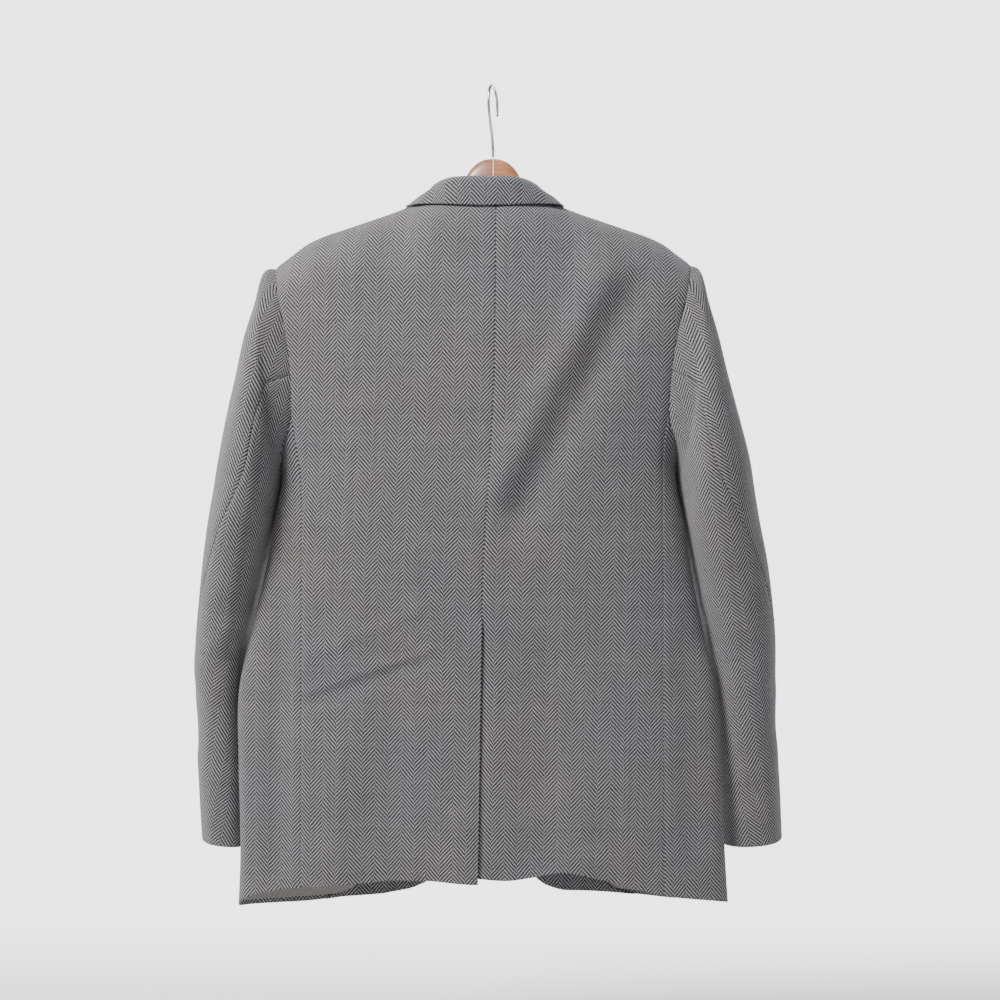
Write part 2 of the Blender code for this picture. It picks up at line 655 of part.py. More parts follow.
def sleeve_rings(side, angles):
    """Rings from just below the armhole to the cuff, as an array of rings by angles."""
    power = 2 / SLEEVE_SQUARENESS
    mean, swing, most = np.radians(SLEEVE_TWIST)
    rings = []
    for number, row in enumerate(SLEEVE):
        outer_z, left_out, right_out, inner_z, left_in, right_in, mid_y, half = row
        outer_x, inner_x = (left_out, left_in) if side > 0 else (right_out, right_in)
        share = smooth_step(number, *TWIST_RINGS)
        turned = angles - (mean + swing * np.cos(angles - most)) * share
        along = np.sign(np.cos(turned)) * np.abs(np.cos(turned)) ** power
        deep = np.sign(np.sin(turned)) * np.abs(np.sin(turned)) ** power
        x = side * ((outer_x + inner_x) / 2 + (outer_x - inner_x) / 2 * along)
        z = (outer_z + inner_z) / 2 + (outer_z - inner_z) / 2 * along
        rings.append(np.stack([x, mid_y + half * deep, z], axis=-1))
    return np.array(rings)


def ring_normals(rings, side):
    """Normals of a closed tube of rings."""
    round_way = np.roll(rings, -1, axis=1) - np.roll(rings, 1, axis=1)
    down = np.gradient(rings, axis=0)
    normal = side * np.cross(down, round_way)
    return normal / np.linalg.norm(normal, axis=-1, keepdims=True)


def sleeve(side, tweed, parent):
    """Top sleeve and under sleeve, split at the hind and fore arm seams."""
    loop, loop_normals = armhole_loop(side)
    angles, low = sleeve_angles(loop)
    rings = sleeve_rings(side, angles)
    normals = ring_normals(np.concatenate([loop[None], rings]), side)
    run = rings[0] - loop
    run -= loop_normals * np.sum(run * loop_normals, axis=-1, keepdims=True)
    run /= np.linalg.norm(run, axis=-1, keepdims=True)
    creased = np.sum(normals[0] * loop_normals, axis=-1, keepdims=True) < 0.35
    head = loop + 2 * HALF_GAP * np.where(creased, loop_normals, run)
    grid = np.concatenate([head[None], rings])
    normals[0] = np.where(creased, normals[0], loop_normals)
    hind = int(np.argmin(np.abs(angles - math.radians(HIND_SEAM))))
    fore = int(np.argmin(np.abs(angles - math.radians(FORE_SEAM))))
    under = np.arange(hind, fore + 1)
    top = np.arange(fore, hind + len(angles) + 1) % len(angles)
    name = side_name(side)
    for part, picked in (("top_sleeve_", top), ("under_sleeve_", under)):
        points = grid[:, picked]
        shell(part + name, points, normals[:, picked], CLOTH, tweed, parent, edges=("first", "last"))
    return grid, normals, hind


# ---------------------------------------------------------------- collar, lapels, pockets
def lapel(side, tweed, parent):
    """The lapel rolls out from its break and lies on the front."""
    first = 0.035 if side > 0 else 0.19
    steps = np.append(first, np.arange(0.25, 1.01, 0.125))
    across = np.array([0.0, 0.3, 0.55, 0.78, 1.0])
    part, out = np.meshgrid(steps, across, indexing="ij")
    roll_z = mix(BREAK_Z, GORGE[1], part)
    roll_x = edge_x(roll_z)
    if side < 0:
        roll_x = np.maximum(roll_x, LAYER * 3 - roll_x)
    tip_x = mix(-FRONT_LAP, LAPEL_TIP[0], part) + LAPEL_BELLY * np.sin(np.pi * part)
    tip_z = mix(BREAK_Z, LAPEL_TIP[1], part)
    x = AXIS_X + side * (mix(roll_x, tip_x, out) + LAYER)
    z = mix(roll_z, tip_z, out) - 2 * LAYER
    points = sheet(-1.0, x, z)
    normals = outward(-1.0, points)
    rounded = np.sin(np.pi * out) * part
    lift = mix(ROLL_LIFT, LAPEL_LIFT, np.minimum(out * 4, 1)) + LAPEL_ROLL * rounded
    points = points + normals * lift[..., None]
    shell("lapel_" + side_name(side), points, normals, CLOTH, tweed, parent, edges=("top",))


def collar(tweed, parent):
    """One piece: up from the neck seam, over the fold and down to the leaf edge."""
    lines = []
    for row in COLLAR:
        fold = np.array(row[0:3])
        leaf = sheet(float(row[5]), np.array(row[3] + 0.0), np.array(row[4]))
        leaf = leaf + outward(float(row[5]), leaf) * LAPEL_LIFT
        neck = np.array(row[6:9])
        aside = leaf - neck
        aside[2] = 0
        aside = aside / np.linalg.norm(aside)
        down = np.array([0, 0, COLLAR_BEND])
        stand_top = fold - aside * COLLAR_BEND - down
        fold_out = fold + aside * COLLAR_BEND - down
        mid = (fold_out + leaf) / 2 + (aside * COLLAR_BEND + down) / 2
        lines.append([neck, (neck + stand_top) / 2, stand_top, fold, fold_out, mid, leaf])
    half = np.array(lines)
    wider = np.where(np.array(COLLAR)[:, 5] > 0, COLLAR_WIDER_RIGHT, 1.0)[:, None]
    mirrored = half.copy()
    mirrored[..., 0] *= -wider
    mirrored = mirrored[:0:-1]
    grid = np.concatenate([mirrored, half]) + np.array([AXIS_X / 2, 0, 0])
    across = np.gradient(grid, axis=0)
    along = np.gradient(grid, axis=1)
    normals = np.cross(along, across)
    normals = normals / np.linalg.norm(normals, axis=-1, keepdims=True)
    shell("collar", grid, normals, CLOTH, tweed, parent, edges=())


def front_point(side, x, z, lift):
    """A point over the front, at a distance from the middle, and the normal there."""
    spot = sheet(-1.0, np.array(AXIS_X + side * x), np.array(z))
    normal = outward(-1.0, spot)
    return spot + normal * lift, normal


def pocket_flap(side, tweed, parent):
    """A slanting flap: its top edge falls towards the side seam."""
    across, down = np.meshgrid(np.linspace(0, 1, 7), np.linspace(1, 0, 3))
    slant = mix(FLAP_FRONT[1], FLAP_BACK[1], across)
    corner = 1 - FLAP_CORNER * np.abs(2 * across - 1) ** 8
    x = mix(FLAP_FRONT[0], FLAP_BACK[0], across) + FLAP_LEAN * down
    z = slant - FLAP_DEPTH * down * corner
    points = sheet(-1.0, AXIS_X + side * x, z)
    normals = outward(-1.0, points)
    lift = CLOTH + LAYER * 2.5
    shell("pocket_flap_" + side_name(side), points, normals, CLOTH, tweed, parent, lift=lift, edges=())


def button(name, radius, spot, normal, horn, parent):
    """A turned button with a raised rim, lying flat on the cloth."""
    thick = radius * 0.34
    profile = (
        (0.0, 0.62 * thick),
        (0.62 * radius, 0.62 * thick),
        (0.80 * radius, thick),
        (0.97 * radius, 0.72 * thick),
        (0.94 * radius, 0.30 * thick),
        (0.60 * radius, 0.0),
        (0.0, 0.0),
    )
    mesh = bpy.data.meshes.new(name)
    points = [(r, 0.0, h) for r, h in profile]
    mesh.from_pydata(points, [(i, i + 1) for i in range(len(points) - 1)], [])
    piece = add_object(name, mesh, horn, parent)
    piece.location = spot
    piece.rotation_mode = "QUATERNION"
    piece.rotation_quaternion = Vector(normal).to_track_quat("Z", "Y")
    turn = piece.modifiers.new("turn", "SCREW")
    turn.steps = turn.render_steps = 20
    turn.use_merge_vertices = True
    turn.merge_threshold = 0.00005
    turn.use_normal_calculate = True
    return piece


def front_buttons(horn, parent):
    """Sewn to the right front, they come through the left one on the middle line."""
    for number, z in enumerate(BUTTON_Z, 1):
        spot, normal = front_point(1, 0.0, z, LAYER)
        button("button_front_%d" % number, BUTTON_RADIUS, spot, normal, horn, parent)


def cuff_buttons(side, grid, normals, hind, horn, parent):
    """Three on the top sleeve, beside the hind arm seam."""
    last = grid[-1, hind - 1] - grid[-2, hind - 1]
    up = -last / np.linalg.norm(last)
    centre = mix(grid[-1, hind], grid[-1, hind - 1], CUFF_BUTTON_PLACE)
    normal = normals[-1, hind] + normals[-1, hind - 1]
    normal -= up * np.dot(normal, up)
    normal /= np.linalg.norm(normal)
    for number in range(3):
        spot = centre + up * (CUFF_BUTTON_START + CUFF_BUTTON_PITCH * number)
        name = "button_cuff_%s_%d" % (side_name(side), number + 1)
        button(name, CUFF_BUTTON_RADIUS, spot + normal * CUFF_BUTTON_LIFT, normal, horn, parent)


# ---------------------------------------------------------------- hanger
def hanger_half(side, wood):
    """One of the two glued halves: oval sections along the arm, which bends forward."""
    rings = []
    for x, top, bottom, thick in HANGER:
        at = side * x - JACKET_X
        if x > HANGER_REACH:
            top = min(top, float(ridge_z(abs(at))) - HANGER_UNDER)
        set_back = HANGER_SET_BACK * (1 - min(x / HANGER_BEND, 1))
        centre_y = middle_y(at, np.array(top)) + set_back
        angles = np.linspace(0, 2 * np.pi, HANGER_SIDES, endpoint=False)
        along = np.sign(np.sin(angles)) * np.abs(np.sin(angles)) ** HANGER_ROUND
        deep = np.sign(np.cos(angles)) * np.abs(np.cos(angles)) ** HANGER_ROUND
        y = centre_y + thick / 2 * deep
        z = (top + bottom) / 2 + (top - bottom) / 2 * along
        out = np.full_like(y, side * (x + HALF_GAP))
        rings.append(np.stack([out, y, z], axis=-1))
    shape = bmesh.new()
    loops = [[shape.verts.new(point) for point in ring] for ring in rings]
    for loop, following in zip(loops, loops[1:]):
        for place in range(HANGER_SIDES):
            nearby = (place + 1) % HANGER_SIDES
            shape.faces.new((loop[place], loop[nearby], following[nearby], following[place]))
    shape.faces.new(loops[0])
    shape.faces.new(loops[-1])
    bmesh.ops.recalc_face_normals(shape, faces=list(shape.faces))
    name = "hanger_" + side_name(side)
    mesh = bpy.data.meshes.new(name)
    shape.to_mesh(mesh)
    shape.free()
    add_object(name, mesh, wood)


def hanger_hook(steel):
    """Wire: up from the wood, back round the crook and down to its free end."""
    run = [(0.0, HANGER[0][1] + HOOK_FOOT_GAP), *HOOK_RISE]
    crook_z = WIRE_RADIUS - CROOK_RADIUS
    for number in range(CROOK_STEPS + 1):
        angle = math.pi * number / CROOK_STEPS
        out = CROOK_RADIUS * math.cos(angle)
        run.append((out, crook_z + CROOK_RADIUS * math.sin(angle)))
    run += HOOK_TIP
    wire = bpy.data.curves.new("hanger_hook", "CURVE")
    wire.dimensions = "3D"
    wire.bevel_depth = WIRE_RADIUS
    wire.bevel_resolution = 2
    wire.use_fill_caps = True
    line = wire.splines.new("POLY")
    line.points.add(len(run) - 1)
    for point, (out, z) in zip(line.points, run):
        point.co = (out * math.sin(CROOK_TURN), out * math.cos(CROOK_TURN), z, 1)
    add_object("hanger_hook", wire, steel)


def main():
    clear_scene()
    collection = bpy.data.collections.new("tweed_jacket")
    bpy.context.scene.collection.children.link(collection)
    tweed = finish("herringbone_tweed", (0.20, 0.20, 0.21), 0.95)
    silk = finish("satin_lining", (0.16, 0.15, 0.15), 0.5)
    jacket = bpy.data.objects.new("jacket_middle", None)
    collection.objects.link(jacket)
    jacket.location.x = JACKET_X
    body_pieces(tweed, silk, jacket)
    horn = finish("horn_button", (0.035, 0.028, 0.024), 0.35)
    wood = finish("varnished_wood", (0.42, 0.22, 0.13), 0.45)
    steel = finish("steel_wire", (0.60, 0.58, 0.55), 0.3, metallic=1.0)
    for side in (1, -1):
        grid, normals, hind = sleeve(side, tweed, jacket)
        cuff_buttons(side, grid, normals, hind, horn, jacket)
        lapel(side, tweed, jacket)
        pocket_flap(side, tweed, jacket)
        hanger_half(side, wood)
    collar(tweed, jacket)
    front_buttons(horn, jacket)
    hanger_hook(steel)


main()
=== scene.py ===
"""Looks of the single-breasted herringbone jacket on its wooden hanger.

Metres, +Z up, with the origin at the inside top of the hook. The back faces +Y and the wearer's
left is +X. The cloth is worked out about the jacket's own middle line and then carried to
JACKET_X, and its pattern follows the cut of each piece through a UV map in metres.
"""

import math

import bpy
import numpy as np
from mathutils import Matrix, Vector


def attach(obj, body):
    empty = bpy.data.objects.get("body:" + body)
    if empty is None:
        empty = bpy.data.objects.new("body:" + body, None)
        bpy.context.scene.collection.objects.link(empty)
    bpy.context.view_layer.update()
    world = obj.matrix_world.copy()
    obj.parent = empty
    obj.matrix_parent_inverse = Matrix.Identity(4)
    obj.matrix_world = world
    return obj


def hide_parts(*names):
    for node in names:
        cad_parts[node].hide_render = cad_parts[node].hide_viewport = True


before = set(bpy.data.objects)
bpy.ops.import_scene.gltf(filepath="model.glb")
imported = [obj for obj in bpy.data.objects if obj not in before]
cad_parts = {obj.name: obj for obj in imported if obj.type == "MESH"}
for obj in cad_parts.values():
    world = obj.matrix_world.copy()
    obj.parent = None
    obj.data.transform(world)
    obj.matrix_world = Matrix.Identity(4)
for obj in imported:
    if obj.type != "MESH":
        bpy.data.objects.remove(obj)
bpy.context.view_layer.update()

# ---------------------------------------------------------------- driving sizes
JACKET_X = 0.009  # the jacket's middle line, from the hook
CLOTH = 0.0020  # tweed with its canvas
FACING = 0.0016
LINING = 0.0010
HALF_GAP = 0.0002  # each piece stops this far short of its seam
LAYER = 0.0004  # air between two layers

MIDDLE_Y = -0.006  # the plane between back and front
AXIS_X = 0.0025  # side seams and front edges are set out from this line
SHOULDER_ROUND = 0.060  # height over which the cloth turns over the shoulder
SHOULDER_FORWARD = 0.010  # how far the shoulder end comes forward ...
SHOULDER_COMES = (-0.50, -0.25)  # ... between these heights
SEAMS_SWING = (-0.46, -0.39)  # side seams swing to the ring's middle between these heights
RISE_POWER = 1.6  # how much closer together the rows lie near the shoulder
NECK_X = 0.072  # shoulder seam, from the neck point ...
SHOULDER_X = 0.2405  # ... to the shoulder end
NECK_DIP = 0.026  # how far the back neck dips under the line of the shoulders

BACK_TOP = -0.375  # side-back seam meets the armhole
FRONT_TOP = -0.395  # underarm seam meets the armhole
ARMHOLE_DIP = 0.052  # bottom of the armhole, under those two

VENT_TOP = -0.6062  # centre vent
VENT_UNDERLAP = 0.035
VENT_DROP = CLOTH + 2 * LAYER

FRONT_LAP = 0.018  # each front passes the middle by this much
LAP_DROP = CLOTH + FACING + 2.5 * LAYER
LAP_STEP = 0.044  # strip beside the front edge that holds the step
FRONT_STRIP = 2.8  # place round the body where that strip starts
BREAK_Z = -0.462  # the lapel starts to roll here
LAPEL_LIFT = 0.0045
ROLL_LIFT = 0.0026
LAPEL_ROLL = 0.0020
GORGE = (0.0605, -0.1780)  # lapel meets collar on the roll line (x, z)
LAPEL_TIP = (0.1320, -0.2200)
LAPEL_BELLY = 0.006
COLLAR_BEND = 0.0022  # half width of the collar's fold
COLLAR_WIDER_RIGHT = 1.06  # its right half reaches out this much further

FLAP_FRONT = (0.0600, -0.6950)  # top edge of the pocket flap, near the front edge (x, z) ...
FLAP_BACK = (0.1960, -0.7300)  # ... and near the side
FLAP_DEPTH = 0.052
FLAP_LEAN = -0.006
FLAP_CORNER = 0.10

BUTTON_Z = (-0.470, -0.565, -0.660)

HANGER_UNDER = CLOTH + LAYER + LINING + 0.0026  # the arms lie this far under the shoulder line
HANGER_SIDES = 16
HANGER_ROUND = 0.8  # power of the section: 1 is an oval, lower is squarer
HANGER_SET_BACK = 0.004  # the middle of the hanger stands this far back of its arms
HANGER_BEND = 0.06  # the set-back dies away over this length
HANGER_REACH = NECK_X - 0.02  # from here out, the top edge follows the jacket's shoulder line
WIRE_RADIUS = 0.0018
CROOK_RADIUS = 0.0190
CROOK_TURN = math.radians(15)
CROOK_STEPS = 12
HOOK_FOOT_GAP = 0.0006  # the wire starts this far above the wood
# The wire on its way up to the crook, and past it. distance out, z
HOOK_RISE = (
    (0.0008, -0.0660),
    (0.0050, -0.0540),
    (0.0120, -0.0420),
    (0.0170, -0.0310),
    (0.0188, -0.0235),
)
HOOK_TIP = ((-0.0190, -0.0230), (-0.0184, -0.0290))

# ---------------------------------------------------------------- tables
# Body rings. z, half width, middle x, back y, front y, squareness of the ring
BODY = (
    (-0.960, 0.2840, 0.002, 0.030, -0.046, 2.6),
    (-0.880, 0.2800, 0.003, 0.032, -0.048, 2.6),
    (-0.780, 0.2790, 0.006, 0.034, -0.050, 2.6),
    (-0.690, 0.2750, 0.009, 0.036, -0.052, 2.6),
    (-0.625, 0.2610, 0.009, 0.038, -0.054, 2.6),
    (-0.565, 0.2475, 0.008, 0.041, -0.056, 2.7),
    (-0.500, 0.2365, 0.007, 0.044, -0.060, 2.8),
    (-0.440, 0.2265, 0.007, 0.046, -0.063, 3.0),
    (-0.400, 0.2360, 0.006, 0.047, -0.065, 3.2),
    (-0.350, 0.2560, 0.005, 0.049, -0.067, 3.4),
    (-0.300, 0.2750, 0.004, 0.050, -0.068, 3.5),
    (-0.250, 0.2900, 0.003, 0.049, -0.067, 3.6),
    (-0.190, 0.3000, 0.002, 0.046, -0.060, 3.6),
    (-0.100, 0.3100, 0.001, 0.042, -0.052, 3.6),
)
# Shoulder line. distance from the middle, z
RIDGE = (
    (0.000, -0.1120),
    (0.040, -0.1165),
    (0.075, -0.1310),
    (0.104, -0.1425),
    (0.132, -0.1520),
    (0.160, -0.1612),
    (0.188, -0.1705),
    (0.207, -0.1795),
    (0.222, -0.1905),
    (0.2405, -0.2045),
    (0.260, -0.2230),
)
# Armhole seam. z, distance from the ring's middle
ARMHOLE = (
    (-0.400, 0.2160),
    (-0.365, 0.2145),
    (-0.330, 0.2160),
    (-0.300, 0.2197),
    (-0.270, 0.2255),
    (-0.245, 0.2315),
    (-0.219, 0.2370),
    (-0.2045, 0.2405),
)
# Centre back seam. z, x
CENTRE_SEAM = (
    (-0.960, 0.0085),
    (-0.910, 0.0078),
    (-0.618, 0.0032),
    (-0.542, 0.0015),
    (-0.440, -0.0050),
    (-0.340, -0.0104),
    (-0.140, -0.0127),
)
# Seams down the side, from AXIS_X. z, side-back seam, underarm seam on the front
SIDE_SEAMS = (
    (-0.960, 0.2070, 0.2240),
    (-0.800, 0.2065, 0.2220),
    (-0.700, 0.2062, 0.2200),
    (-0.600, 0.2060, 0.2120),
    (-0.500, 0.2055, 0.2060),
    (-0.440, 0.2065, 0.2070),
    (-0.395, 0.2115, 0.2153),
    (-0.375, 0.2145, 0.2145),
)
# Front edge below the lapel, from AXIS_X. z, x
FRONT_EDGE = (
    (-0.9450, 0.1250),
    (-0.9405, 0.1180),
    (-0.9360, 0.0930),
    (-0.9300, 0.0740),
    (-0.9200, 0.0600),
    (-0.9000, 0.0450),
    (-0.8650, 0.0300),
    (-0.8100, 0.0110),
    (-0.7500, -0.0060),
    (-0.7000, -0.0150),
    (-0.6600, -0.0180),
    (-0.4620, -0.0180),
)
# Hem. place round the half body (0 centre back, 1 and 2 the side seams, 3 front edge), left z, right z
HEM = (
    (0.00, -0.9110, -0.9048),
    (0.15, -0.9093, -0.9070),
    (0.28, -0.9072, -0.9035),
    (0.46, -0.9070, -0.8972),
    (0.64, -0.9105, -0.9045),
    (0.80, -0.9125, -0.9140),
    (1.00, -0.9160, -0.9265),
    (1.20, -0.9270, -0.9340),
    (1.50, -0.9430, -0.9400),
    (1.80, -0.9470, -0.9430),
    (2.00, -0.9475, -0.9430),
    (2.50, -0.9455, -0.9400),
    (3.00, -0.9405, -0.9365),
)
# Largest folds of the back. first end x z, second end x z, half width, depth (troughs are negative)
BACK_FOLDS = (
    (-0.131, -0.228, -0.014, -0.462, 0.019, 0.0058),
    (-0.172, -0.235, -0.042, -0.488, 0.021, -0.0061),
    (0.120, -0.250, 0.030, -0.430, 0.030, -0.0020),
    (0.143, -0.456, 0.014, -0.511, 0.0050, 0.0019),
    (0.170, -0.400, 0.016, -0.498, 0.0075, 0.0014),
    (-0.054, -0.540, -0.130, -0.578, 0.0050, 0.0017),
    (-0.020, -0.515, -0.080, -0.520, 0.0090, -0.0014),
    (0.200, -0.692, 0.062, -0.645, 0.0060, 0.0024),
    (0.204, -0.706, 0.080, -0.660, 0.0140, -0.0031),
    (0.206, -0.655, 0.078, -0.602, 0.0070, 0.0017),
    (0.233, -0.600, 0.240, -0.900, 0.017, -0.0076),
    (-0.236, -0.640, -0.240, -0.880, 0.016, -0.0043),
    (0.101, -0.160, 0.104, -0.182, 0.022, -0.0071),
    (-0.096, -0.165, -0.100, -0.186, 0.022, -0.0061),
    (-0.062, -0.680, -0.078, -0.860, 0.034, -0.0044),
    (-0.160, -0.700, -0.166, -0.900, 0.036, 0.0037),
    (0.105, -0.720, 0.112, -0.900, 0.034, -0.0031),
    (0.170, -0.760, 0.176, -0.905, 0.022, 0.0034),
    (0.020, -0.905, 0.024, -0.840, 0.020, 0.0043),
    (-0.098, -0.900, -0.095, -0.820, 0.028, 0.0051),
)
# The same for the front, where the cloth falls from the chest to the hem
FRONT_FOLDS = (
    (0.170, -0.250, 0.075, -0.440, 0.026, -0.0035),
    (-0.170, -0.250, -0.075, -0.450, 0.026, -0.0035),
    (0.150, -0.470, 0.040, -0.500, 0.0090, 0.0017),
    (-0.160, -0.480, -0.050, -0.505, 0.0080, 0.0017),
    (0.205, -0.560, 0.195, -0.900, 0.024, -0.0049),
    (-0.200, -0.540, -0.205, -0.880, 0.024, -0.0049),
    (0.110, -0.940, 0.100, -0.820, 0.024, 0.0035),
    (-0.120, -0.935, -0.125, -0.830, 0.030, 0.0028),
)
# Sleeve rings. outer z, outer x left, right, inner z, inner x left, right, middle y, half depth
SLEEVE = (
    (-0.2135, 0.2560, 0.2495, -0.445, 0.2370, 0.2235, -0.010, 0.056),
    (-0.2450, 0.2642, 0.2572, -0.450, 0.2380, 0.2245, -0.009, 0.063),
    (-0.2820, 0.2757, 0.2677, -0.457, 0.2392, 0.2255, -0.009, 0.069),
    (-0.3250, 0.2850, 0.2780, -0.467, 0.2408, 0.2272, -0.010, 0.073),
    (-0.3750, 0.2965, 0.2915, -0.482, 0.2432, 0.2300, -0.012, 0.075),
    (-0.4300, 0.3078, 0.3062, -0.503, 0.2472, 0.2335, -0.016, 0.074),
    (-0.4900, 0.3200, 0.3170, -0.536, 0.2545, 0.2390, -0.023, 0.072),
    (-0.5500, 0.3295, 0.3298, -0.582, 0.2645, 0.2470, -0.033, 0.069),
    (-0.6120, 0.3370, 0.3385, -0.634, 0.2735, 0.2560, -0.043, 0.066),
    (-0.6750, 0.3425, 0.3425, -0.689, 0.2790, 0.2640, -0.051, 0.063),
    (-0.7400, 0.3395, 0.3430, -0.749, 0.2775, 0.2690, -0.057, 0.061),
    (-0.8080, 0.3395, 0.3485, -0.812, 0.2740, 0.2725, -0.061, 0.059),
    (-0.8740, 0.3365, 0.3520, -0.880, 0.2720, 0.2750, -0.064, 0.057),
)
SLEEVE_SQUARENESS = 2.3
# Both arm seams turn towards the front on their way down. degrees, then rings from and to
HIND_SEAM = 95
FORE_SEAM = 235
SLEEVE_TWIST = (72, 15, 80)  # mean turn, how much it differs round the sleeve, where it is most
TWIST_RINGS = (4, 10)
# Collar, centre back to its front end. fold x y z, leaf edge x, z and face (1 back, -1 front),
# neck edge x y z
COLLAR = (
    (0.0000, 0.0370, -0.1088, 0.0000, -0.1440, 1, 0.0000, 0.0315, -0.1370),
    (0.0200, 0.0362, -0.1088, 0.0215, -0.1432, 1, 0.0190, 0.0305, -0.1362),
    (0.0380, 0.0320, -0.1095, 0.0440, -0.1420, 1, 0.0360, 0.0270, -0.1345),
    (0.0520, 0.0220, -0.1128, 0.0660, -0.1402, 1, 0.0490, 0.0190, -0.1320),
    (0.0620, 0.0080, -0.1180, 0.0830, -0.1395, 1, 0.0590, 0.0070, -0.1305),
    (0.0670, -0.0080, -0.1215, 0.0920, -0.1400, -1, 0.0635, -0.0080, -0.1320),
    (0.0680, -0.0250, -0.1275, 0.0990, -0.1460, -1, 0.0640, -0.0230, -0.1370),
    (0.0660, -0.0440, -0.1405, 0.1035, -0.1570, -1, 0.0620, -0.0390, -0.1480),
    (0.0635, -0.0575, -0.1560, 0.1050, -0.1720, -1, 0.0595, -0.0510, -0.1640),
    (0.0605, -0.0660, -0.1740, 0.0935, -0.1955, -1, 0.0560, -0.0600, -0.1780),
)
# Hanger half, from its middle joint outwards. x, highest top z, bottom z, thickness
HANGER = (
    (0.0000, -0.0807, -0.1660, 0.0240),
    (0.0120, -0.0830, -0.1665, 0.0240),
    (0.0220, -0.0893, -0.1675, 0.0240),
    (0.0290, -0.0980, -0.1685, 0.0242),
    (0.0335, -0.1080, -0.1690, 0.0244),
    (0.0420, -0.1290, -0.1700, 0.0248),
    (0.0600, -0.1385, -0.1730, 0.0256),
    (0.0850, -0.1385, -0.1780, 0.0270),
    (0.1150, -0.1385, -0.1850, 0.0290),
    (0.1500, -0.1385, -0.1925, 0.0320),
    (0.1850, -0.1385, -0.2010, 0.0350),
    (0.2070, -0.1890, -0.2100, 0.0310),
    (0.2160, -0.1960, -0.2130, 0.0220),
)

# Soft folds of the sleeves. angle and z at each end, half width, depth. Angle is 0 outside,
# 90 at the back and 180 inside
SLEEVE_FOLDS = (
    (150, -0.600, 80, -0.640, 0.011, 0.0016),
    (160, -0.630, 95, -0.668, 0.010, -0.0016),
    (210, -0.560, 285, -0.590, 0.013, 0.0020),
    (205, -0.595, 280, -0.628, 0.012, -0.0022),
    (200, -0.625, 270, -0.665, 0.011, 0.0018),
    (150, -0.480, 92, -0.380, 0.014, -0.0022),
    (35, -0.470, 60, -0.560, 0.020, -0.0012),
    (20, -0.690, 70, -0.720, 0.013, -0.0010),
    (25, -0.780, 80, -0.800, 0.016, 0.0011),
    (203, -0.390, 210, -0.600, 0.024, 0.0070),
)

# ---------------------------------------------------------------- sizes that only show close to
SEAM_DEPTH = 0.0006  # a pressed seam sinks by this much ...
SEAM_WIDTH = 0.0018  # ... over this width each side
SEAM_PAD = 0.00030  # and its turnings lift the cloth a little beside it
SEAM_PAD_AT = 0.0085
SEAM_PAD_WIDTH = 0.0035
EDGE_LINES = (0.0, 0.0002, 0.0006, 0.0011, 0.0020, 0.0034, 0.0054, 0.0080)
PROBE = 2e-5  # step for finding the slope of the form
BACK_STEP = 0.0032  # spacing of the grid lines on the back ...
FRONT_STEP = 0.0044
SLEEVE_STEP = 0.0036
COLLAR_STEP = 0.0022
LINING_STEP = 0.0090
# ... and the rough lengths that they are spaced over
BACK_ACROSS = 0.205
SIDE_ACROSS = 0.150
FRONT_ACROSS = 0.170
ARMHOLE_HEIGHT = 0.200
BACK_HEIGHT = 0.570  # from hem to armhole
FRONT_HEIGHT = 0.550
SIDE_HEIGHT = 0.520
VENT_HEIGHT = 0.300
LAPEL_HEIGHT = 0.310
LAPEL_ACROSS = 0.085
FLAP_ACROSS = 0.140
LINING_ACROSS = {"front": 0.12, "side": 0.15, "back": 0.2}
LINING_SIDE_HEIGHT = 0.5
LAPEL_START = {"left": 0.035, "right": 0.19}  # share of the roll line under which it is hidden
VENT_LIFT = 0.0006  # the vent's free edge stands up by this much
VENT_EASE = 0.016  # the under side of the vent sinks over this width
SLEEVE_BUMP = 0.0014  # roll of the sleeve head
SLEEVE_BUMP_AT = 0.0090
SLEEVE_BUMP_WIDTH = 0.0085
SLEEVE_SEAM_DEPTH = 0.0009
SLEEVE_HEAD_SINK = 0.0007  # the seam at the sleeve head sinks by this much ...
SLEEVE_HEAD_WIDTH = 0.0022  # ... over this width
SLEEVE_HEAD_BLEND = 0.012  # the sleeve leaves the armhole square to it, over this length
SLEEVE_ROUND = 0.052  # mean radius of a sleeve
SLEEVE_SHIFT = 0.012  # the right sleeve's folds lie this much lower
CUFF_VENT = 0.095
CUFF_VENT_LAP = 0.0014  # its edges stand above and below the seam by this much
# Lean of each sleeve piece's warp out from plumb, and the angle that its unrolling starts from
SLEEVE_GRAIN = {"top": (17, -220), "under": (12, -60)}
SLEEVE_OVAL = (0.036, 0.070)  # mean half width and half depth of a sleeve
OVAL_STEPS = 721
CUFF_CORNER = 0.009
COLLAR_HUG = 0.0029  # least height of the collar's outside over the back

# The weave: a two and two twill that turns back every 14 warp ends
END = 0.01485 / 14
PICK = 0.00119
COLUMN_ENDS = 14
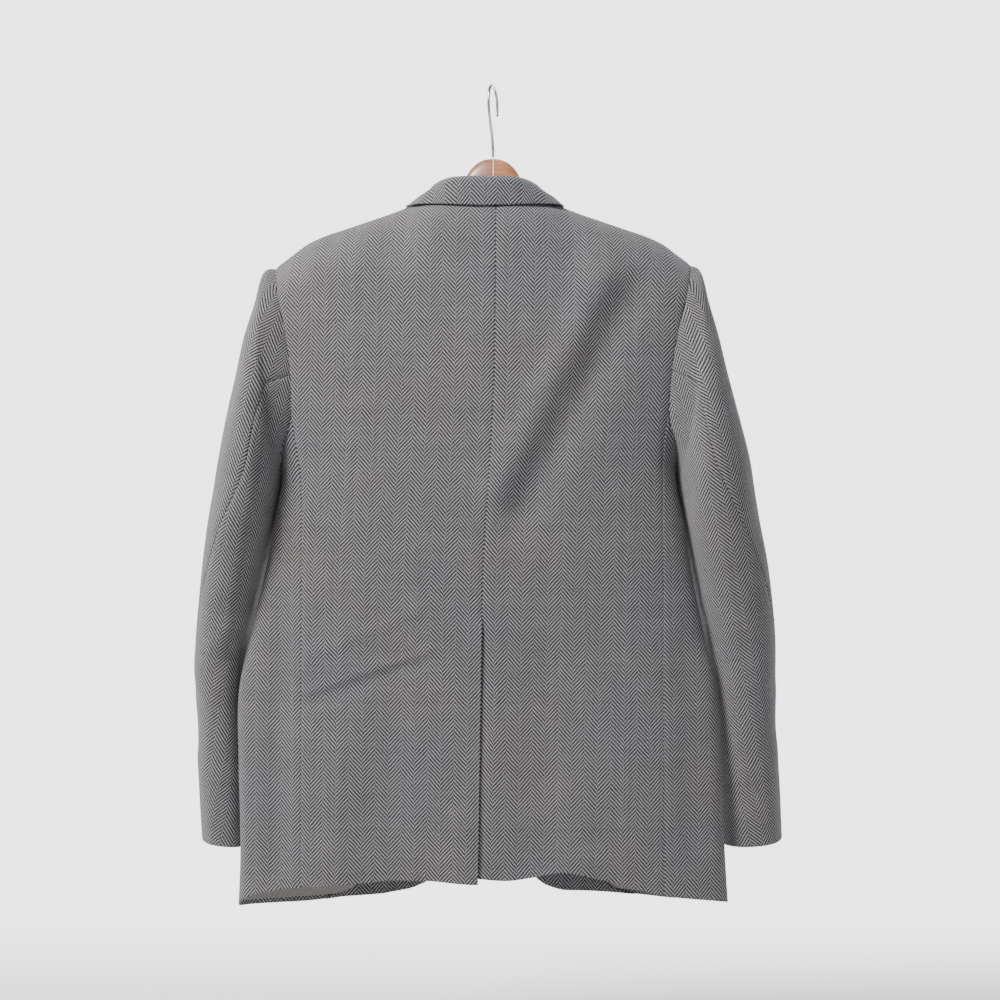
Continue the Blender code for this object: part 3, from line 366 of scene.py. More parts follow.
# How the weave follows from the cloth's own coordinates. result, operation, what it is made of
WEAVE = (
    ("ends", "DIVIDE", "across", END),
    ("picks", "DIVIDE", "up", PICK),
    ("end", "FLOOR", "ends"),
    ("pick", "FLOOR", "picks"),
    ("in end", "FRACT", "ends"),
    ("in pick", "FRACT", "picks"),
    ("columns", "DIVIDE", "end", COLUMN_ENDS),
    ("column", "FLOOR", "columns"),
    ("turned", "FLOORED_MODULO", "column", 2.0),
    ("local", "FLOORED_MODULO", "end", COLUMN_ENDS),
    ("mirrored", "MULTIPLY_ADD", "local", -2.0, COLUMN_ENDS - 1.0),
    ("turned back", "MULTIPLY", "turned", "mirrored"),
    ("step across", "ADD", "local", "turned back"),
    ("step up", "MULTIPLY_ADD", "turned", 2.0, "pick"),
    ("step", "ADD", "step across", "step up"),
    ("cell", "FLOORED_MODULO", "step", 4.0),
    ("warp up", "LESS_THAN", "cell", 1.5),
    # Each yarn is round across itself ...
    ("off warp", "MULTIPLY_ADD", "in end", 2.0, -1.0),
    ("beside warp", "ABSOLUTE", "off warp"),
    ("warp fall", "POWER", "beside warp", 2.0),
    ("warp round", "SUBTRACT", 1.0, "warp fall"),
    ("off weft", "MULTIPLY_ADD", "in pick", 2.0, -1.0),
    ("beside weft", "ABSOLUTE", "off weft"),
    ("weft fall", "POWER", "beside weft", 2.0),
    ("weft round", "SUBTRACT", 1.0, "weft fall"),
    ("weft height", "MULTIPLY", "weft round", 0.8),
    # ... and a float of the warp dips at both ends.
    ("in float", "ADD", "cell", "in pick"),
    ("off float", "SUBTRACT", "in float", 1.0),
    ("beside float", "ABSOLUTE", "off float"),
    ("float fall", "POWER", "beside float", 4.0),
    ("float round", "SUBTRACT", 1.0, "float fall"),
    ("float height", "MULTIPLY_ADD", "float round", 0.5, 0.5),
    ("warp height", "MULTIPLY", "warp round", "float height"),
    ("pick seed", "ADD", "pick", 371.5),
)
FACING_START = 2.55  # the facing and the front lining meet on this line of the front
LAP_RAMP = 0.035  # share of a front's width over which the lapped edge steps in
LINING_PLEAT = 0.0010  # the lining's slack swings in by this much
LINING_WAVES = 95  # pleats are spaced by 2 pi over this, in metres ...
LINING_SWAY = (2.4, 9)  # ... and sway by this phase, this often
LINING_SLACK = (0.30, 0.55)  # and start between these depths under the hook
LINING_HEM = 0.012  # share of the height under the armhole at which the lining stops

BUTTON_SIDES = 56
DISH_HEIGHT = 0.215  # height of the button's dished middle, as a share of its radius
HOLE_AT = 0.20
HOLE_RADIUS = 0.095
HOLE_SIDES = 12
THREAD_RADIUS = 0.00022
DOME_TURNS = (15, 40, 65)  # rings that round off the end of a bar, in degrees from its axis
# Turned profile, as shares of the radius. distance from the axis, height
BUTTON_PROFILE = (
    (0.0, 0.0),
    (0.58, 0.0),
    (0.80, 0.05),
    (0.93, 0.11),
    (0.985, 0.17),
    (1.0, 0.22),
    (0.985, 0.27),
    (0.95, 0.31),
    (0.90, 0.335),
    (0.84, 0.34),
    (0.78, 0.325),
    (0.72, 0.285),
    (0.66, 0.245),
    (0.58, 0.220),
    (0.45, 0.212),
    (0.0, 0.210),
)
HOLE_LENGTH = 0.024  # worked buttonhole
HOLE_WIDTH = 0.0011
PURL = {"Pitch": 0.00075, "Purl width": 0.0021, "Thread radius": 0.00042}
FLOOR_Z = -1.25
FLOOR_HALF = 12.0
FLOOR_FADE = (-0.35, -1.1)  # between these y the floor turns as bright as the wall
ROOM = "F6F7FA"
WALL_LIGHT = 3.6
OPEN_LIGHT = 0.45  # strength on the side that the back faces
CEILING_LIGHT = 0.30
CEILING_FROM = (0.36, 0.60)
WALL_TURN = (-0.6, 0.5)  # between these directions the bright wall turns into the open side
# Soft lights. name, place, size, power, colour
LIGHTS = (
    ("key", (1.30, 1.20, 1.40), (0.8, 0.6), 158.0, "FFFCF6"),
    ("front_fill", (-0.6, -2.3, 1.0), (2.0, 1.3), 24.0, "FFFDF8"),
)
LIGHT_AIM = (0, 0, -0.5)
CAMERA_PLACE = (-0.0081, 1.735, -0.4751)
CAMERA_LENS = 54.16
TWEED = {
    "pale low": "636265",
    "pale high": "AEADB1",
    "dark low": "17171B",
    "dark high": "2E2D31",
    "warm": "FFFDFA",
    "cool": "F8FAFF",
}


# ---------------------------------------------------------------- curves
def hermite(start, end, leaving, arriving, part):
    """The cubic from start to end that leaves and arrives with the given slopes."""
    square, cube = part**2, part**3
    return (
        (2 * cube - 3 * square + 1) * start
        + (cube - 2 * square + part) * leaving
        + (3 * square - 2 * cube) * end
        + (cube - square) * arriving
    )


def curve(keys, values):
    """A smooth function through the rows of a table, which never overshoots them."""
    keys = np.asarray(keys, float)
    values = np.asarray(values, float)
    steps = np.diff(keys)
    slopes = np.diff(values) / steps
    inner = np.where(slopes[1:] * slopes[:-1] > 0, (slopes[1:] + slopes[:-1]) / 2, 0.0)
    limit = 3 * np.minimum(np.abs(slopes[1:]), np.abs(slopes[:-1]))
    inner = np.clip(inner, -limit, limit)
    tangents = np.concatenate([[slopes[0]], inner, [slopes[-1]]])

    def value(at):
        at = np.clip(np.asarray(at, float), keys[0], keys[-1])
        low = np.clip(np.searchsorted(keys, at) - 1, 0, len(steps) - 1)
        step = steps[low]
        leaving, arriving = step * tangents[low], step * tangents[low + 1]
        return hermite(values[low], values[low + 1], leaving, arriving, (at - keys[low]) / step)

    return value


def columns(table):
    """One curve for each column after the first, which is the key."""
    table = np.array(table, float)
    return [curve(table[:, 0], table[:, place]) for place in range(1, table.shape[1])]


def smooth_step(value, start, end):
    """Rises from 0 at start to 1 at end, level at both."""
    part = np.clip((value - start) / (end - start), 0, 1)
    return part * part * (3 - 2 * part)


def mix(start, end, part):
    """Start where the part is 0, end where it is 1, and straight in between."""
    return start + (end - start) * part


half_width, ring_x, back_y, front_y, squareness = columns(BODY)
(ridge_z,) = columns(RIDGE)
(armhole_x,) = columns(ARMHOLE)
(centre_seam_x,) = columns(CENTRE_SEAM)
side_back_x, underarm_x = columns(SIDE_SEAMS)
(front_edge_x,) = columns(FRONT_EDGE)
hem_left, hem_right = columns(HEM)


# ---------------------------------------------------------------- the form that the cloth takes
def folds(table, x, z):
    """Soft troughs and ridges along short lines, fading out at both ends."""
    total = np.zeros(np.broadcast(x, z).shape)
    for start_x, start_z, end_x, end_z, half, depth in table:
        along = np.array([end_x - start_x, end_z - start_z])
        length = np.hypot(*along)
        along = along / length
        place = (x - start_x) * along[0] + (z - start_z) * along[1]
        aside = (x - start_x) * along[1] - (z - start_z) * along[0]
        past = np.maximum(np.abs(place - length / 2) - length / 2, 0)
        total = total + depth * np.exp(-(aside**2 + past**2) / half**2)
    return total


def outline(face, x, z):
    """Depth of the form here without its folds, and the share of the ring's depth left to it."""
    across = np.clip(np.abs(x - ring_x(z)) / half_width(z), 0, 1)
    power = squareness(z)
    ring = (1 - across**power) ** (1 / power)
    turn = np.clip((ridge_z(np.abs(x)) - z) / SHOULDER_ROUND, 0, 1)
    turn = np.sqrt(1 - (1 - turn) ** 2)
    deep = np.where(face > 0, back_y(z) - MIDDLE_Y, MIDDLE_Y - front_y(z))
    return deep * ring * turn, ring * turn


def middle_y(x, z):
    """The plane between back and front, which comes forward towards the shoulder ends."""
    forward = SHOULDER_FORWARD * (x / SHOULDER_X) ** 2
    return MIDDLE_Y - forward * smooth_step(z, *SHOULDER_COMES)


def sheet(face, x, z):
    """Points of the back (face 1) or the front (face -1) at x and z."""
    deep, share = outline(face, x, z)
    fold = np.where(face > 0, folds(BACK_FOLDS, x, z), folds(FRONT_FOLDS, x, z))
    y = middle_y(x, z) + face * (deep + fold * share)
    return np.stack(np.broadcast_arrays(x, y, z), axis=-1)


def level(face, x, y, z):
    """Zero on the form and positive outside it, with no edge at the shoulder line or the sides."""
    fold = np.where(face > 0, folds(BACK_FOLDS, x, z), folds(FRONT_FOLDS, x, z))
    _, share = outline(face, x, z)
    ring_deep = np.where(face > 0, back_y(z) - MIDDLE_Y, MIDDLE_Y - front_y(z))
    out = np.abs(face * (y - middle_y(x, z)) - fold * share) / ring_deep
    across = np.abs(x - ring_x(z)) / half_width(z)
    power = squareness(z)
    rise = (ridge_z(np.abs(x)) - z) / SHOULDER_ROUND
    low = across**power + out**power - 1
    ring = np.clip(1 - across**power, 1e-9, 1) ** (1 / power)
    high = (out / ring) ** 2 + (1 - rise) ** 2 - 1
    return np.where(rise < 1, high, low)


def level_change(face, points):
    """How much the level rises along each axis, over twice the probing step."""
    x, y, z = points[..., 0], points[..., 1], points[..., 2]
    return np.stack(
        [
            level(face, x + PROBE, y, z) - level(face, x - PROBE, y, z),
            level(face, x, y + PROBE, z) - level(face, x, y - PROBE, z),
            level(face, x, y, z + PROBE) - level(face, x, y, z - PROBE),
        ],
        axis=-1,
    )


def outward(face, points):
    """Unit normals of the form at its own points."""
    slope = level_change(face, points)
    return slope / np.linalg.norm(slope, axis=-1, keepdims=True)


def seam_axis(z):
    """Side seams hang straight, and swing to the ring's middle where they meet the armhole."""
    return mix(AXIS_X, ring_x(z), smooth_step(z, *SEAMS_SWING))


def neck_z(x):
    """Neck seam of the back, which dips under the line of the shoulders."""
    inside = np.clip(np.abs(x - AXIS_X) / NECK_X, 0, 1)
    return ridge_z(np.abs(x)) - NECK_DIP * (1 - inside**2)


def rise_of(row):
    """Share of the height from the armhole's foot to the shoulder, closer together at the top."""
    return 1 - (1 - np.clip(row - 1, 0, 1)) ** RISE_POWER


def edge_x(z):
    """Front edge and, above the break, the roll line of the lapel, from AXIS_X."""
    roll = mix(-FRONT_LAP, NECK_X, (z - BREAK_Z) / (ridge_z(NECK_X) - BREAK_Z))
    return np.where(z > BREAK_Z, roll, front_edge_x(z))


def front_share(place):
    """Share of the way from underarm seam to the inner strip, and then to the front edge."""
    outer = (place - 2) / (FRONT_STRIP - 2)
    inner = (place - FRONT_STRIP) / (3 - FRONT_STRIP)
    return np.clip(outer, 0, 1), np.clip(inner, 0, 1)


def top_of(place):
    """Height of the foot of the armhole round the body."""
    part = np.clip(place - 1, 0, 1)
    dip = ARMHOLE_DIP * np.sqrt(np.sin(np.pi * part))
    return mix(BACK_TOP, FRONT_TOP, part) - dip


def back_grid(side, place, row):
    """Face, x and z of half the back: from hem to armhole, then up to shoulder and neck."""
    hem = hem_left(place) if side > 0 else hem_right(place)
    rise = rise_of(row)
    low = np.minimum(row, 1)
    end_z = mix(BACK_TOP, ridge_z(SHOULDER_X), rise)
    middle_top = mix(BACK_TOP, neck_z(np.array(AXIS_X)), rise)
    top_x = mix(centre_seam_x(-0.14), ring_x(-0.2) + side * SHOULDER_X, place)
    high_z = mix(BACK_TOP, neck_z(top_x), rise)
    z = np.where(row > 1, high_z, mix(hem, BACK_TOP, low))
    low_x = mix(centre_seam_x(z), seam_axis(z) + side * side_back_x(z), place)
    high_x = mix(centre_seam_x(middle_top), ring_x(end_z) + side * armhole_x(end_z), place)
    return 1.0, np.where(row > 1, high_x, low_x), z


def front_grid(side, place, row):
    """Face, x and z of a front, with a strip beside its edge that keeps its width."""
    hem = hem_left(place) if side > 0 else hem_right(place)
    rise = rise_of(row)
    low = np.minimum(row, 1)
    outer, inner = front_share(place)
    neck = AXIS_X + side * NECK_X
    shoulder = ring_x(-0.2) + side * SHOULDER_X
    top_x = mix(mix(shoulder, neck + side * LAP_STEP, outer), neck, inner)
    z = np.where(row > 1, mix(FRONT_TOP, ridge_z(np.abs(top_x)), rise), mix(hem, FRONT_TOP, low))
    end_z = mix(FRONT_TOP, ridge_z(SHOULDER_X), rise)
    edge_z = mix(FRONT_TOP, ridge_z(NECK_X), rise)
    first_low = seam_axis(z) + side * underarm_x(z)
    first = np.where(row > 1, ring_x(end_z) + side * armhole_x(end_z), first_low)
    last = AXIS_X + side * np.where(row > 1, edge_x(edge_z), edge_x(z))
    x = mix(mix(first, last + side * LAP_STEP, outer), last, inner)
    return -1.0, x, z


def side_points(side, place, row):
    """The side panel runs round the ring from the side-back seam to the underarm seam."""
    hem = hem_left(place) if side > 0 else hem_right(place)
    z = mix(hem, top_of(place), np.minimum(row, 1))
    angles = []
    for face, seam in ((1, side_back_x), (-1, underarm_x)):
        x = np.abs(seam_axis(z) + side * seam(z) - ring_x(z)) / half_width(z)
        y = (1 - np.clip(x, 0, 1) ** squareness(z)) ** (1 / squareness(z))
        angles.append(face * np.arctan2(y, x))
    angle = mix(angles[0], angles[1], place - 1)
    power = squareness(z)
    reach = (np.abs(np.cos(angle)) ** power + np.abs(np.sin(angle)) ** power) ** (1 / power)
    x = ring_x(z) + side * half_width(z) * np.cos(angle) / reach
    face = np.where(angle >= 0, 1.0, -1.0)
    deep = np.where(face > 0, back_y(z) - MIDDLE_Y, MIDDLE_Y - front_y(z))
    share = np.abs(np.sin(angle)) / reach
    fold = np.where(face > 0, folds(BACK_FOLDS, x, z), folds(FRONT_FOLDS, x, z))
    y = middle_y(x, z) + face * (deep * share + fold * share)
    return face, np.stack([x, y, z], axis=-1)


def body_grid(side, places, rows):
    """Points and normals of the half body at each row and place of a panel."""
    place, row = np.meshgrid(np.array(places, float), np.array(rows, float))
    if place.max() <= 1:
        face, x, z = back_grid(side, place, row)
        points = sheet(face, x, z)
    elif place.min() >= 2:
        face, x, z = front_grid(side, place, row)
        points = sheet(face, x, z)
    else:
        face, points = side_points(side, place, row)
    return points, outward(face, points)


# ---------------------------------------------------------------- sleeves
def armhole_loop(side, top_rows, places):
    """Armhole seam from the shoulder down the back, under the arm and up the front."""
    back_points, back_normals = body_grid(side, (0.9, 1.0), top_rows)
    side_edge, side_normals = body_grid(side, places, (0.9, 1.0))
    front_points, front_normals = body_grid(side, (2.0, 2.1), top_rows)
    points = np.concatenate([back_points[::-1, -1], side_edge[1, 1:-1], front_points[:-1, 0]])
    normals = np.concatenate([back_normals[::-1, -1], side_normals[1, 1:-1], front_normals[:-1, 0]])
    return points, normals


def sleeve_angles(loop):
    """Angle round the sleeve of each point of the armhole: 0 at the shoulder, half a turn at the foot."""
    z = loop[:, 2]
    low = int(np.argmin(z))
    share = (z - (z[0] + z[low]) / 2) / ((z[0] - z[low]) / 2)
    angle = np.arccos(np.clip(share, -1, 1))
    angle[low + 1 :] = 2 * np.pi - angle[low + 1 :]
    return angle


def sleeve_columns(side):
    """The sleeve's table for one side: outer z, x, inner z, x, middle y and half depth."""
    picked = (0, 1, 3, 4, 6, 7) if side > 0 else (0, 2, 3, 5, 6, 7)
    return np.array(SLEEVE)[:, picked].T


def sleeve_rings(side, angles):
    """Rings from just below the armhole to the cuff, as an array of rings by angles."""
    power = 2 / SLEEVE_SQUARENESS
    mean, swing, most = np.radians(SLEEVE_TWIST)
    rings = []
    for number, row in enumerate(sleeve_columns(side).T):
        outer_z, outer_x, inner_z, inner_x, mid_y, half = row
        share = smooth_step(number, *TWIST_RINGS)
        turned = angles - (mean + swing * np.cos(angles - most)) * share
        along = np.sign(np.cos(turned)) * np.abs(np.cos(turned)) ** power
        deep = np.sign(np.sin(turned)) * np.abs(np.sin(turned)) ** power
        x = side * ((outer_x + inner_x) / 2 + (outer_x - inner_x) / 2 * along)
        z = (outer_z + inner_z) / 2 + (outer_z - inner_z) / 2 * along
        rings.append(np.stack([x, mid_y + half * deep, z], axis=-1))
    return np.array(rings)


def ring_normals(rings, side):
    """Normals of a closed tube of rings."""
    round_way = np.roll(rings, -1, axis=1) - np.roll(rings, 1, axis=1)
    down = np.gradient(rings, axis=0)
    normal = side * np.cross(down, round_way)
    return normal / np.linalg.norm(normal, axis=-1, keepdims=True)


def spline(grid, knots, at):
    """Points at the places `at`, one column of them for each column of the grid."""
    steps = np.diff(knots)[:, None, None]
    slopes = np.diff(grid, axis=0) / steps
    inner = (slopes[:-1] * steps[1:] + slopes[1:] * steps[:-1]) / (steps[1:] + steps[:-1])
    tangents = np.concatenate([slopes[:1], inner, slopes[-1:]])
    low = np.clip(np.searchsorted(knots, at) - 1, 0, len(knots) - 2)
    column = np.broadcast_to(np.arange(grid.shape[1]), at.shape)
    step = np.diff(knots)[low][..., None]
    part = ((at - knots[low])[..., None]) / step
    leaving, arriving = step * tangents[low, column], step * tangents[low + 1, column]
    return hermite(grid[low, column], grid[low + 1, column], leaving, arriving, part)


# ---------------------------------------------------------------- fine grids and walls
def grid_lines(start, end, length, step, first=True, last=True):
    """Lines from start to end over a real length, closer together at the named ends."""
    near = np.array(EDGE_LINES)
    low = near if first else near[:1]
    high = near if last else near[:1]
    count = max(int(round((length - low[-1] - high[-1]) / step)), 1)
    inner = np.linspace(low[-1], length - high[-1], count + 1)
    line = np.concatenate([low[:-1], inner, length - high[-2::-1]])
    return start + (end - start) * line / length


def arcs(points, axis, skip=None):
    """Distance along the grid lines, leaving out one coordinate if that is named."""
    run = np.diff(points, axis=axis)
    if skip is not None:
        run[..., skip] = 0
    length = np.linalg.norm(run, axis=-1)
    start = np.zeros_like(np.take(length, [0], axis=axis))
    return np.concatenate([start, np.cumsum(length, axis=axis)], axis=axis)


def edge_distance(points, edge):
    """Distance of each point from one edge of its grid, along the cloth."""
    if edge in ("first", "last"):
        along = arcs(points, 1)
        return along if edge == "first" else along[:, -1:] - along
    along = arcs(points, 0)
    return along if edge == "bottom" else along[-1:] - along


def seam_relief(points, seams, depth=SEAM_DEPTH):
    """Height of the cloth beside its seams: sunk at the stitching and padded by the turnings."""
    height = np.zeros(points.shape[:2])
    for edge in seams:
        away = edge_distance(points, edge)
        height -= depth * np.exp(-((away / SEAM_WIDTH) ** 2))
        height += SEAM_PAD * np.exp(-(((away - SEAM_PAD_AT) / SEAM_PAD_WIDTH) ** 2))
    return height


def body_uv(points, u_start=0.0):
    """Cloth coordinates of a hanging panel: the warp runs straight down."""
    across = arcs(points, 1, skip=2)
    up = arcs(points, 0, skip=0)
    return np.stack([u_start + across, points[:1, :, 2] + up], axis=-1)


def sleeve_uv(points, side, part):
    """Cloth coordinates of a sleeve piece: its warp hangs straight and leans out by an angle.

    Each level across that lean is unrolled as an oval, from the middle of the back.
    """
    lean, start = (math.radians(angle) for angle in SLEEVE_GRAIN[part])
    down = np.array([side * math.sin(lean), 0.0, -math.cos(lean)])
    out = np.array([side * math.cos(lean), 0.0, math.sin(lean)])
    outer_z, outer_x, inner_z, inner_x, ring_middle, ring_depth = sleeve_columns(side)
    outside = np.stack([side * outer_x, ring_middle, outer_z], axis=-1)
    inside = np.stack([side * inner_x, ring_middle, inner_z], axis=-1)
    middle = (outside + inside) / 2
    along = points @ down
    centre, width, mid_y, deep = (
        np.interp(along, middle @ down, values)
        for values in (middle @ out, (outside - inside) @ out / 2, ring_middle, ring_depth)
    )
    angle = np.arctan2((points[..., 1] - mid_y) / deep, (points @ out - centre) / width)
    angle = start + np.mod(angle - start, 2 * np.pi)
    turns = np.linspace(start, start + 2 * np.pi, OVAL_STEPS)
    oval_width, oval_depth = SLEEVE_OVAL
    rate = np.hypot(oval_width * np.sin(turns), oval_depth * np.cos(turns))
    length = np.cumsum(rate) * (turns[1] - turns[0])
    round_way = np.interp(np.pi / 2, turns, length) - np.interp(angle, turns, length)
    return np.stack([centre + round_way * width / oval_width, -along], axis=-1)


def flat_uv(points):
    """Cloth coordinates of a small piece, along its own grid lines."""
    return np.stack([arcs(points, 1), arcs(points, 0)], axis=-1)


def linked(name, data):
    """A new object in the scene that holds a mesh, a lamp or a camera."""
    item = bpy.data.objects.new(name, data)
    bpy.context.scene.collection.objects.link(item)
    return item


def mesh_piece(name, verts, faces, finish, uv):
    """A smooth mesh with its cloth coordinates."""
    mesh = bpy.data.meshes.new(name)
    mesh.from_pydata(verts.tolist(), [], faces.tolist())
    mesh.polygons.foreach_set("use_smooth", np.ones(len(mesh.polygons), bool))
    mesh.materials.append(finish)
    layer = mesh.uv_layers.new(name="cloth")
    corners = np.zeros(len(mesh.loops), np.int32)
    mesh.loops.foreach_get("vertex_index", corners)
    layer.uv.foreach_set("vector", uv[corners].astype(np.float32).ravel())
    mesh.update()
    return linked(name, mesh)


def wall(name, points, normals, uv, thickness, finish, rounded=(), lift=0.0):
    """A closed wall of cloth under a grid of points, with soft rounded edges where they are open."""
    half = thickness / 2
    pinch = np.zeros(points.shape[:2])
    for edge in rounded:
        away = np.clip(edge_distance(points, edge) / half, 0, 1)
        pinch = np.maximum(pinch, 0.8 * half * (1 - np.sqrt(1 - (1 - away) ** 2)))
    middle = points + normals * (lift - half)
    reach = (half - pinch)[..., None]
    outer = middle + normals * reach
    inner = middle - normals * reach
    rows, places = points.shape[:2]
    index = np.arange(rows * places).reshape(rows, places)
    a, b = index[:-1, :-1].ravel(), index[:-1, 1:].ravel()
    c, d = index[1:, 1:].ravel(), index[1:, :-1].ravel()
    outside = np.stack([a, b, c, d], axis=1)
    probe_row, probe_place = rows // 2, places // 2
    corner = outer[probe_row, probe_place]
    aside = outer[probe_row, probe_place + 1] - corner
    upward = outer[probe_row + 1, probe_place] - corner
    turned = np.dot(np.cross(aside, upward), normals[probe_row, probe_place]) < 0
    outside = outside[:, ::-1] if turned else outside
    total = rows * places
    inside = outside[:, ::-1] + total
    rim = np.concatenate([index[0, :-1], index[:-1, -1], index[-1, :0:-1], index[:0:-1, 0]])
    following = np.roll(rim, -1)
    if turned:
        border = np.stack([rim, following, following + total, rim + total], axis=1)
    else:
        border = np.stack([following, rim, rim + total, following + total], axis=1)
    verts = np.concatenate([outer.reshape(-1, 3), inner.reshape(-1, 3)])
    verts[:, 0] += JACKET_X
    faces = np.concatenate([outside, inside, border])
    both = np.concatenate([uv.reshape(-1, 2), uv.reshape(-1, 2)])
    return mesh_piece(name, verts, faces, finish, both)


def raised(points, normals, height):
    """The points, each moved along its normal."""
    return points + normals * height[..., None]


def side_name(side):
    """The wearer's left is the positive side."""
    return "left" if side > 0 else "right"


# ---------------------------------------------------------------- body pieces
def body_rows(step, height):
    """Rows from hem to shoulder, close together at both ends."""
    low = grid_lines(0, 1, height, step, last=False)
    high = grid_lines(1, 2, ARMHOLE_HEIGHT, step, first=False)
    return np.concatenate([low, high[1:]])


def back_panel(side, finish):
    """Half of the back. Below the vent's top the left half lies over the right one."""
    places = grid_lines(0, 1, BACK_ACROSS, BACK_STEP)
    points, normals = body_grid(side, places, body_rows(BACK_STEP, BACK_HEIGHT))
    relief = seam_relief(points, ("first", "last"))
    below = points[..., 2] < VENT_TOP
    if side > 0:
        free = smooth_step(VENT_TOP - points[..., 2], -0.006, 0.012)
        near = np.exp(-((edge_distance(points, "first") / SEAM_WIDTH) ** 2))
        relief += free * near * (SEAM_DEPTH + VENT_LIFT)
        rounded = ("first", "bottom")
    else:
        away = edge_distance(points, "first")
        open_here = smooth_step(VENT_TOP - points[..., 2], -0.004, 0.020)
        sunk = 1 - smooth_step(away, 0.001, VENT_EASE)
        relief -= VENT_DROP * sunk * open_here * below
        rounded = ("bottom",)
    points = raised(points, normals, relief)
    uv = body_uv(points)
    return wall("back_shell_" + side_name(side), points, normals, uv, CLOTH, finish, rounded)


def vent_underlap(finish):
    """The strip of the right half that carries on under the left one."""
    across = grid_lines(1, 0, VENT_UNDERLAP, BACK_STEP, last=False)
    rows = grid_lines(0, 1, VENT_HEIGHT, BACK_STEP, last=False)
    part, row = np.meshgrid(across, rows)
    z = mix(hem_right(0.0), VENT_TOP + 0.004, row)
    x = centre_seam_x(z) + VENT_UNDERLAP * part
    points = sheet(1.0, x, z)
    normals = outward(1.0, points)
    points = points - normals * VENT_DROP
    uv = np.stack([x - centre_seam_x(z), z], axis=-1)
    return wall("vent_underlap", points, normals, uv, CLOTH, finish, ("first", "bottom"))


def side_panel(side, finish):
    """The side body, from the side-back seam to the underarm seam."""
    places = grid_lines(1, 2, SIDE_ACROSS, BACK_STEP)
    rows = grid_lines(0, 1, SIDE_HEIGHT, FRONT_STEP)
    points, normals = body_grid(side, places, rows)
    points = raised(points, normals, seam_relief(points, ("first", "last", "top")))
    uv = body_uv(points, u_start=0.004)
    return wall("side_shell_" + side_name(side), points, normals, uv, CLOTH, finish, ("bottom",))


def front_with_lap(side, places, rows):
    """Points of a front. The right front steps in where the left one lies over it."""
    points, normals = body_grid(side, places, rows)
    if side < 0:
        lapped = 1 - smooth_step(edge_x(points[..., 2]), 0.009, 0.020)
        stepped = smooth_step(places, FRONT_STRIP, FRONT_STRIP + LAP_RAMP)
        points = points - normals * (LAP_DROP * lapped * stepped)[..., None]
    return points, normals


def front_places(start, step):
    """Lines across a front, close together beside the front edge."""
    across = FRONT_ACROSS * (FRONT_STRIP - start) / (FRONT_STRIP - 2)
    wide = grid_lines(start, FRONT_STRIP, across, step, first=start == 2.0, last=False)
    edge = grid_lines(FRONT_STRIP, 3.0, LAP_STEP, step, first=False)
    return np.concatenate([wide, edge[1:]])


def front_panel(side, finish):
    """A front, from the underarm seam to its edge."""
    places = front_places(2.0, FRONT_STEP)
    points, normals = front_with_lap(side, places, body_rows(FRONT_STEP, FRONT_HEIGHT))
    points = raised(points, normals, seam_relief(points, ("first",)))
    # The warp hangs parallel to the straight part of the front edge.
    u = np.abs(points[..., 0] - AXIS_X) + 0.3 * np.abs(points[..., 1] - front_y(points[..., 2]))
    up = arcs(points, 0, skip=0)
    uv = np.stack([u, points[:1, :, 2] + up], axis=-1)
    rounded = ("last", "bottom")
    return wall("front_shell_" + side_name(side), points, normals, uv, CLOTH, finish, rounded)


def facing(side, finish):
    """The tweed behind the front's edge, which meets the lining."""
    places = front_places(FACING_START, LINING_STEP)
    points, normals = front_with_lap(side, places, body_rows(LINING_STEP, FRONT_HEIGHT))
    uv = np.stack([np.abs(points[..., 0] - AXIS_X), points[..., 2]], axis=-1)
    below = -(CLOTH + LAYER)
    name = "facing_inner_" + side_name(side)
    return wall(name, points, normals, uv, FACING, finish, ("last", "bottom"), lift=below)


def lining_rows():
    """Rows of a lining, from above the hem to the shoulder."""
    low = grid_lines(LINING_HEM, 1, SIDE_HEIGHT, LINING_STEP, last=False)
    high = grid_lines(1, 2, ARMHOLE_HEIGHT, LINING_STEP, first=False, last=False)
    return np.concatenate([low, high[1:]])


def lining_pleats(points, side):
    """Slack of the lining, as long shallow waves that only push inwards."""
    x, z = points[..., 0], points[..., 2]
    sway, often = LINING_SWAY
    wave = 0.5 + 0.5 * np.sin(x * LINING_WAVES + sway * np.sin(z * often + side))
    return -LINING_PLEAT * wave * smooth_step(-z, *LINING_SLACK)


def linings(side, silk):
    """The lining of one front, side and half back, each with the node that it stands for."""
    below = -(CLOTH + LAYER)
    ends = {"front": (2.0, FACING_START), "side": (1, 2), "back": (0, 1)}
    pieces = []
    for part, (start, end) in ends.items():
        places = grid_lines(start, end, LINING_ACROSS[part], LINING_STEP)
        if part == "side":
            rows = grid_lines(LINING_HEM, 1, LINING_SIDE_HEIGHT, LINING_STEP)
        else:
            rows = lining_rows()
        grid = back_lining_grid if part == "back" else body_grid
        points, normals = grid(side, places, rows)
        points = raised(points, normals, lining_pleats(points, side))
        uv = body_uv(points)
        name = "%s_%s" % (part, side_name(side))
        piece = wall("lining_soft_" + name, points, normals, uv, LINING, silk, ("bottom",), below)
        pieces.append((piece, "lining_" + name))
    return pieces


def back_lining_grid(side, places, rows):
    """The back lining keeps clear of the vent's under side."""
    points, _ = body_grid(side, places, rows)
    z = points[:, :1, 2]
    open_here = smooth_step(VENT_TOP - z, -0.060, -0.030)
    clear = mix(0.0006, VENT_UNDERLAP + 0.004 if side > 0 else VENT_EASE + 0.004, open_here)
    fade = 1 - smooth_step(places, 0.0, 0.45)
    x = points[..., 0] + side * clear * fade
    points = sheet(1.0, x, points[..., 2])
    return points, outward(1.0, points)


